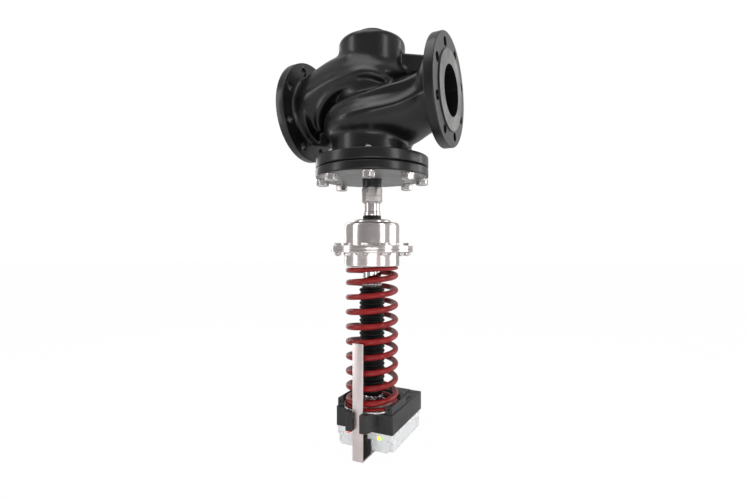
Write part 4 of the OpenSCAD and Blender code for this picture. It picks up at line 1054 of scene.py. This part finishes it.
# %% Casing bolts
casing_count, casing_circle, casing_first = 12, 76, math.radians(15)
head = polygon_bar(12.8, -305.3, -299.5, chamfers=(False, True))
nut = polygon_bar(12.8, -325.3, -319.1, turn=0.3)
tail = threaded_bar(8, 1.25, -327, -319, 32)
flange_washer = turned(ring(4.3, 8, -305.4, -304.4, 0.3, 0.3), 24)
make_piece("casing_bolt_set", [
    copy for part in (head, tail, flange_washer)
    for copy in ringed(part, casing_count, casing_circle, casing_first)],
    plated_steel, "valve", "casing_bolts")
make_piece("casing_nut_set", ringed(nut, casing_count, casing_circle, casing_first),
           plated_steel, "valve", "casing_nuts")

# %% [markdown]
# ## Spindle bearing
# Between the fixed actuator and the turning spindle sits a small ball race: a chromed sleeve,
# a ring of steel balls and two thin washers that hold them.

# %% Spindle bearing
make_piece("sleeve_turned", [turned([(9.2, -377), (18.6, -377, 0.8), (20, -375.4, 0.8),
    (20, -333.4, 0.6), (9.2, -333.4)])], chromed_steel, "stem", "spindle_sleeve")
make_piece("spacer_turned", [turned(ring(9.2, 15, -383, -377, 0.8, 0.8))], turned_steel,
           "stem", "spindle_spacer")
cage_low, cage_high = levels("ball_cage")
race = [turned(ring(9.3, 20.6, z0, z0 + 1.2, 0.5, 0.5)) for z0 in (cage_low, cage_high - 1.2)]
core = turned(ring(9.3, 16.6, cage_low, cage_high, 0.3, 0.3))
make_piece("race_rings", race + [core], turned_steel, "stem", "ball_cage")
ball_z = (cage_low + cage_high) / 2
ball_r, ball_count, race_r = 2.75, 18, 19.45
half_turn = np.linspace(0.02, math.pi - 0.02, 17)
ball = turned([(ball_r * math.sin(t), ball_z - ball_r * math.cos(t)) for t in half_turn], 24)
make_piece("ball_set", ringed(ball, ball_count, race_r), chromed_steel, "stem", "bearing_balls")

# %% [markdown]
# ## Bellows
# The boot is one moulded rubber tube with round ribs and narrow grooves between them. It is
# drawn as a smooth outline and spun. It is fixed to the ball race above and to the setting
# unit below.

# %% Bellows
top, bottom = -391.2, -622.2
root_r, rib_r, ribs, collar = 21.4, 27.3, 24, 4.0
pitch = (top - bottom - 2 * collar) / ribs
outer = [(root_r, top), (root_r, top - collar)]
for i in range(ribs):
    size = 1 if i < ribs - 3 else 1 - 0.22 * (i - ribs + 4)
    for t in np.linspace(0, 1, 12, endpoint=False)[1:]:
        swell = math.sin(math.pi * t) ** 0.55
        outer.append((root_r + (rib_r - root_r) * size * swell, top - collar - pitch * (i + t)))
outer.append((root_r, bottom))
inner = [(r - 1.6, z) for r, z in reversed(outer)]
boot = make_piece("bellows_rubber", [turned(outer + inner, 72)], black_rubber, None,
                  "bellows_boot", flat=70)
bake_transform(boot)

# %% [markdown]
# ## Setting spring
# Heavy red wire, wound with closed ends that are ground flat. It is a tube swept along a
# helix: the centre line rises slowly over the end turns and evenly between them. The upper
# turns lean on the casing, which stands still, and the lower ones on the setting unit, so the
# wire is made in two lengths that meet at a level where both move with the stem.

# %% Setting spring
spring_top, spring_end, wire_r, coil_r, turns = -349.3, -642.7, 6.0, 50.5, 10.94
spring_pitch = (spring_top - spring_end - 2 * wire_r) / (turns - 2)


def rise(w):
    if w < 0.5:
        return 0.0
    return spring_pitch * ((w - 0.5) ** 2 / 2 if w < 1.5 else w - 1)


def wire(w):
    """Centre and half height of the wire after w turns from the upper end."""
    end = min(w, turns - w)
    half = wire_r * min(1, 0.27 + 0.73 * end)
    side = rise(end) + half
    return (spring_top - side if w < turns / 2 else spring_end + side), half


def coil(first_turn, last_turn, sides=20, per_turn=56):
    points = []
    count = int((last_turn - first_turn) * per_turn) + 1
    for w in np.linspace(first_turn, last_turn, count):
        a = math.radians(177 - 360 * w)
        level, half = wire(w)
        ends = min(w, turns - w) * 2 * math.pi * coil_r
        tip = 0.75 + 0.25 * math.sqrt(max(0.0, 1 - max(0.0, 1 - ends / 1.5) ** 2))
        for k in range(sides):
            b = 2 * math.pi * k / sides
            r = coil_r + wire_r * tip * math.cos(b)
            z = level + half * tip * math.sin(b)
            points.append((r * math.cos(a), r * math.sin(a), z))
    faces = net(count, sides)
    faces += [tuple(range(sides))[::-1], tuple((count - 1) * sides + k for k in range(sides))]
    return points, faces


seam = 2.42
for name, part, above, below, start, end in (
        ("spring_upper_turns", coil(0, seam), "valve", "stem", -0.352, -0.393),
        ("spring_lower_turns", coil(seam, turns), "stem", "setting_unit", -0.407, -0.640)):
    spring = make_piece(name, [part], red_coat, None, "setting_spring", flat=60)
    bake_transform(spring)

# %% [markdown]
# ## Setting unit
# The unit under the spring is a dark moulded housing with a deck on top and a clear cover
# below, behind which small lamps show. The photo shows no raised deck at the back, so there
# the deck is cut down to a low lid, and its screw is lowered with it.

# %% Deck
deck_low, deck_high = levels("housing_deck")
left, right = [(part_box("housing_deck")[i][0] - axis_x) / MM for i in (0, 1)]
arm_right, step_y, back, lid = 38.0, 70.0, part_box("housing_deck")[1][1] / MM, 1.6
cuts = [("DIFFERENCE", block((left - 5, step_y, deck_low - 5),
                             (right + 5, back + 5, deck_high + 5))),
        ("UNION", block((left + 0.2, step_y - 2.4, deck_low), (arm_right, step_y, deck_high))),
        ("UNION", block((left + 0.6, step_y - 1, deck_low), (arm_right, back, deck_low + lid)))]
from_cad("housing_deck", housing_plastic, "setting_unit", 0.6, cuts=cuts)
screws = from_cad("deck_screws", plated_steel, "setting_unit", 0.25)
lowered = 0.15
for v in screws.data.vertices:
    if v.co.y > step_y * MM:
        v.co.z = deck_low * MM + (v.co.z - deck_low * MM) * lowered
print("deck's step at y =", step_y)

# %% [markdown]
# The lamps shine through the clear cover. Each has a small lens that lies on the cover's face,
# because a lamp seen through frosted plastic looks as if it sat on its surface.

# %% Lamp lenses
cover_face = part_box("clear_cover")[0][1] / MM
lamp_level = -697.5
for name, finish, x, radius in (("red_lens", lamp_red, -35.5, 2.7),
                                ("yellow_lens", lamp_yellow, 35.5, 3.8),
                                ("green_lens_left", lamp_green, -3, 1.5),
                                ("green_lens_right", lamp_green, 43.3, 1.5)):
    half_turn = np.linspace(0.02, math.pi - 0.02, 13)
    bead_points, bead_faces = turned([(radius * math.sin(t), -radius * math.cos(t))
                                      for t in half_turn], 28)
    bead_points = bead_points * [1, 0.3, 1]
    make_piece(name, [moved((bead_points, bead_faces), x, cover_face, lamp_level)], finish,
               "setting_unit")

# %% Setting unit
for node, finish, rides_on, round_mm, *slot in (
        ("impulse_fittings", brass, "valve", 0.4),
        ("lower_spring_plate", plated_steel, "setting_unit", 0.4, "polished_steel"),
        ("setting_housing", housing_plastic, "setting_unit", 0.7),
        ("clear_cover", clear_plastic, "setting_unit", 1.0),
        ("cover_screws", plated_steel, "setting_unit", 0.25),
        ("cable_gland", black_block, "setting_unit", 0.5),
        ("adjusting_nut", chromed_steel, "nut", 0.4),
        ("stop_block", black_block, "stem", 0.7),
        ("strip_screws", plated_steel, "stem", 0.25),
        ("guide_strip", strip_steel, "stem", 0.25)):
    from_cad(node, finish, rides_on, round_mm, *slot)

# %% [markdown]
# ## Diaphragm
# The rubber sheet is clamped by the casing's rims, so its outer edge stands still, while its
# middle follows the stem. It is made as one sheet.

# %% Diaphragm
sheet = from_cad("diaphragm", black_rubber, None, 0.3, name="diaphragm_sheet")
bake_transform(sheet)

# %% Finishes of the pieces that keep their CAD mesh
for row in frame["record"]["subparts"]:
    ob = frame["nodes"][row["node"]]
    if ob.type == "MESH" and not ob.hide_render:
        ob.data.materials.clear()
        ob.data.materials.append(finishes[row["material_slot"]])
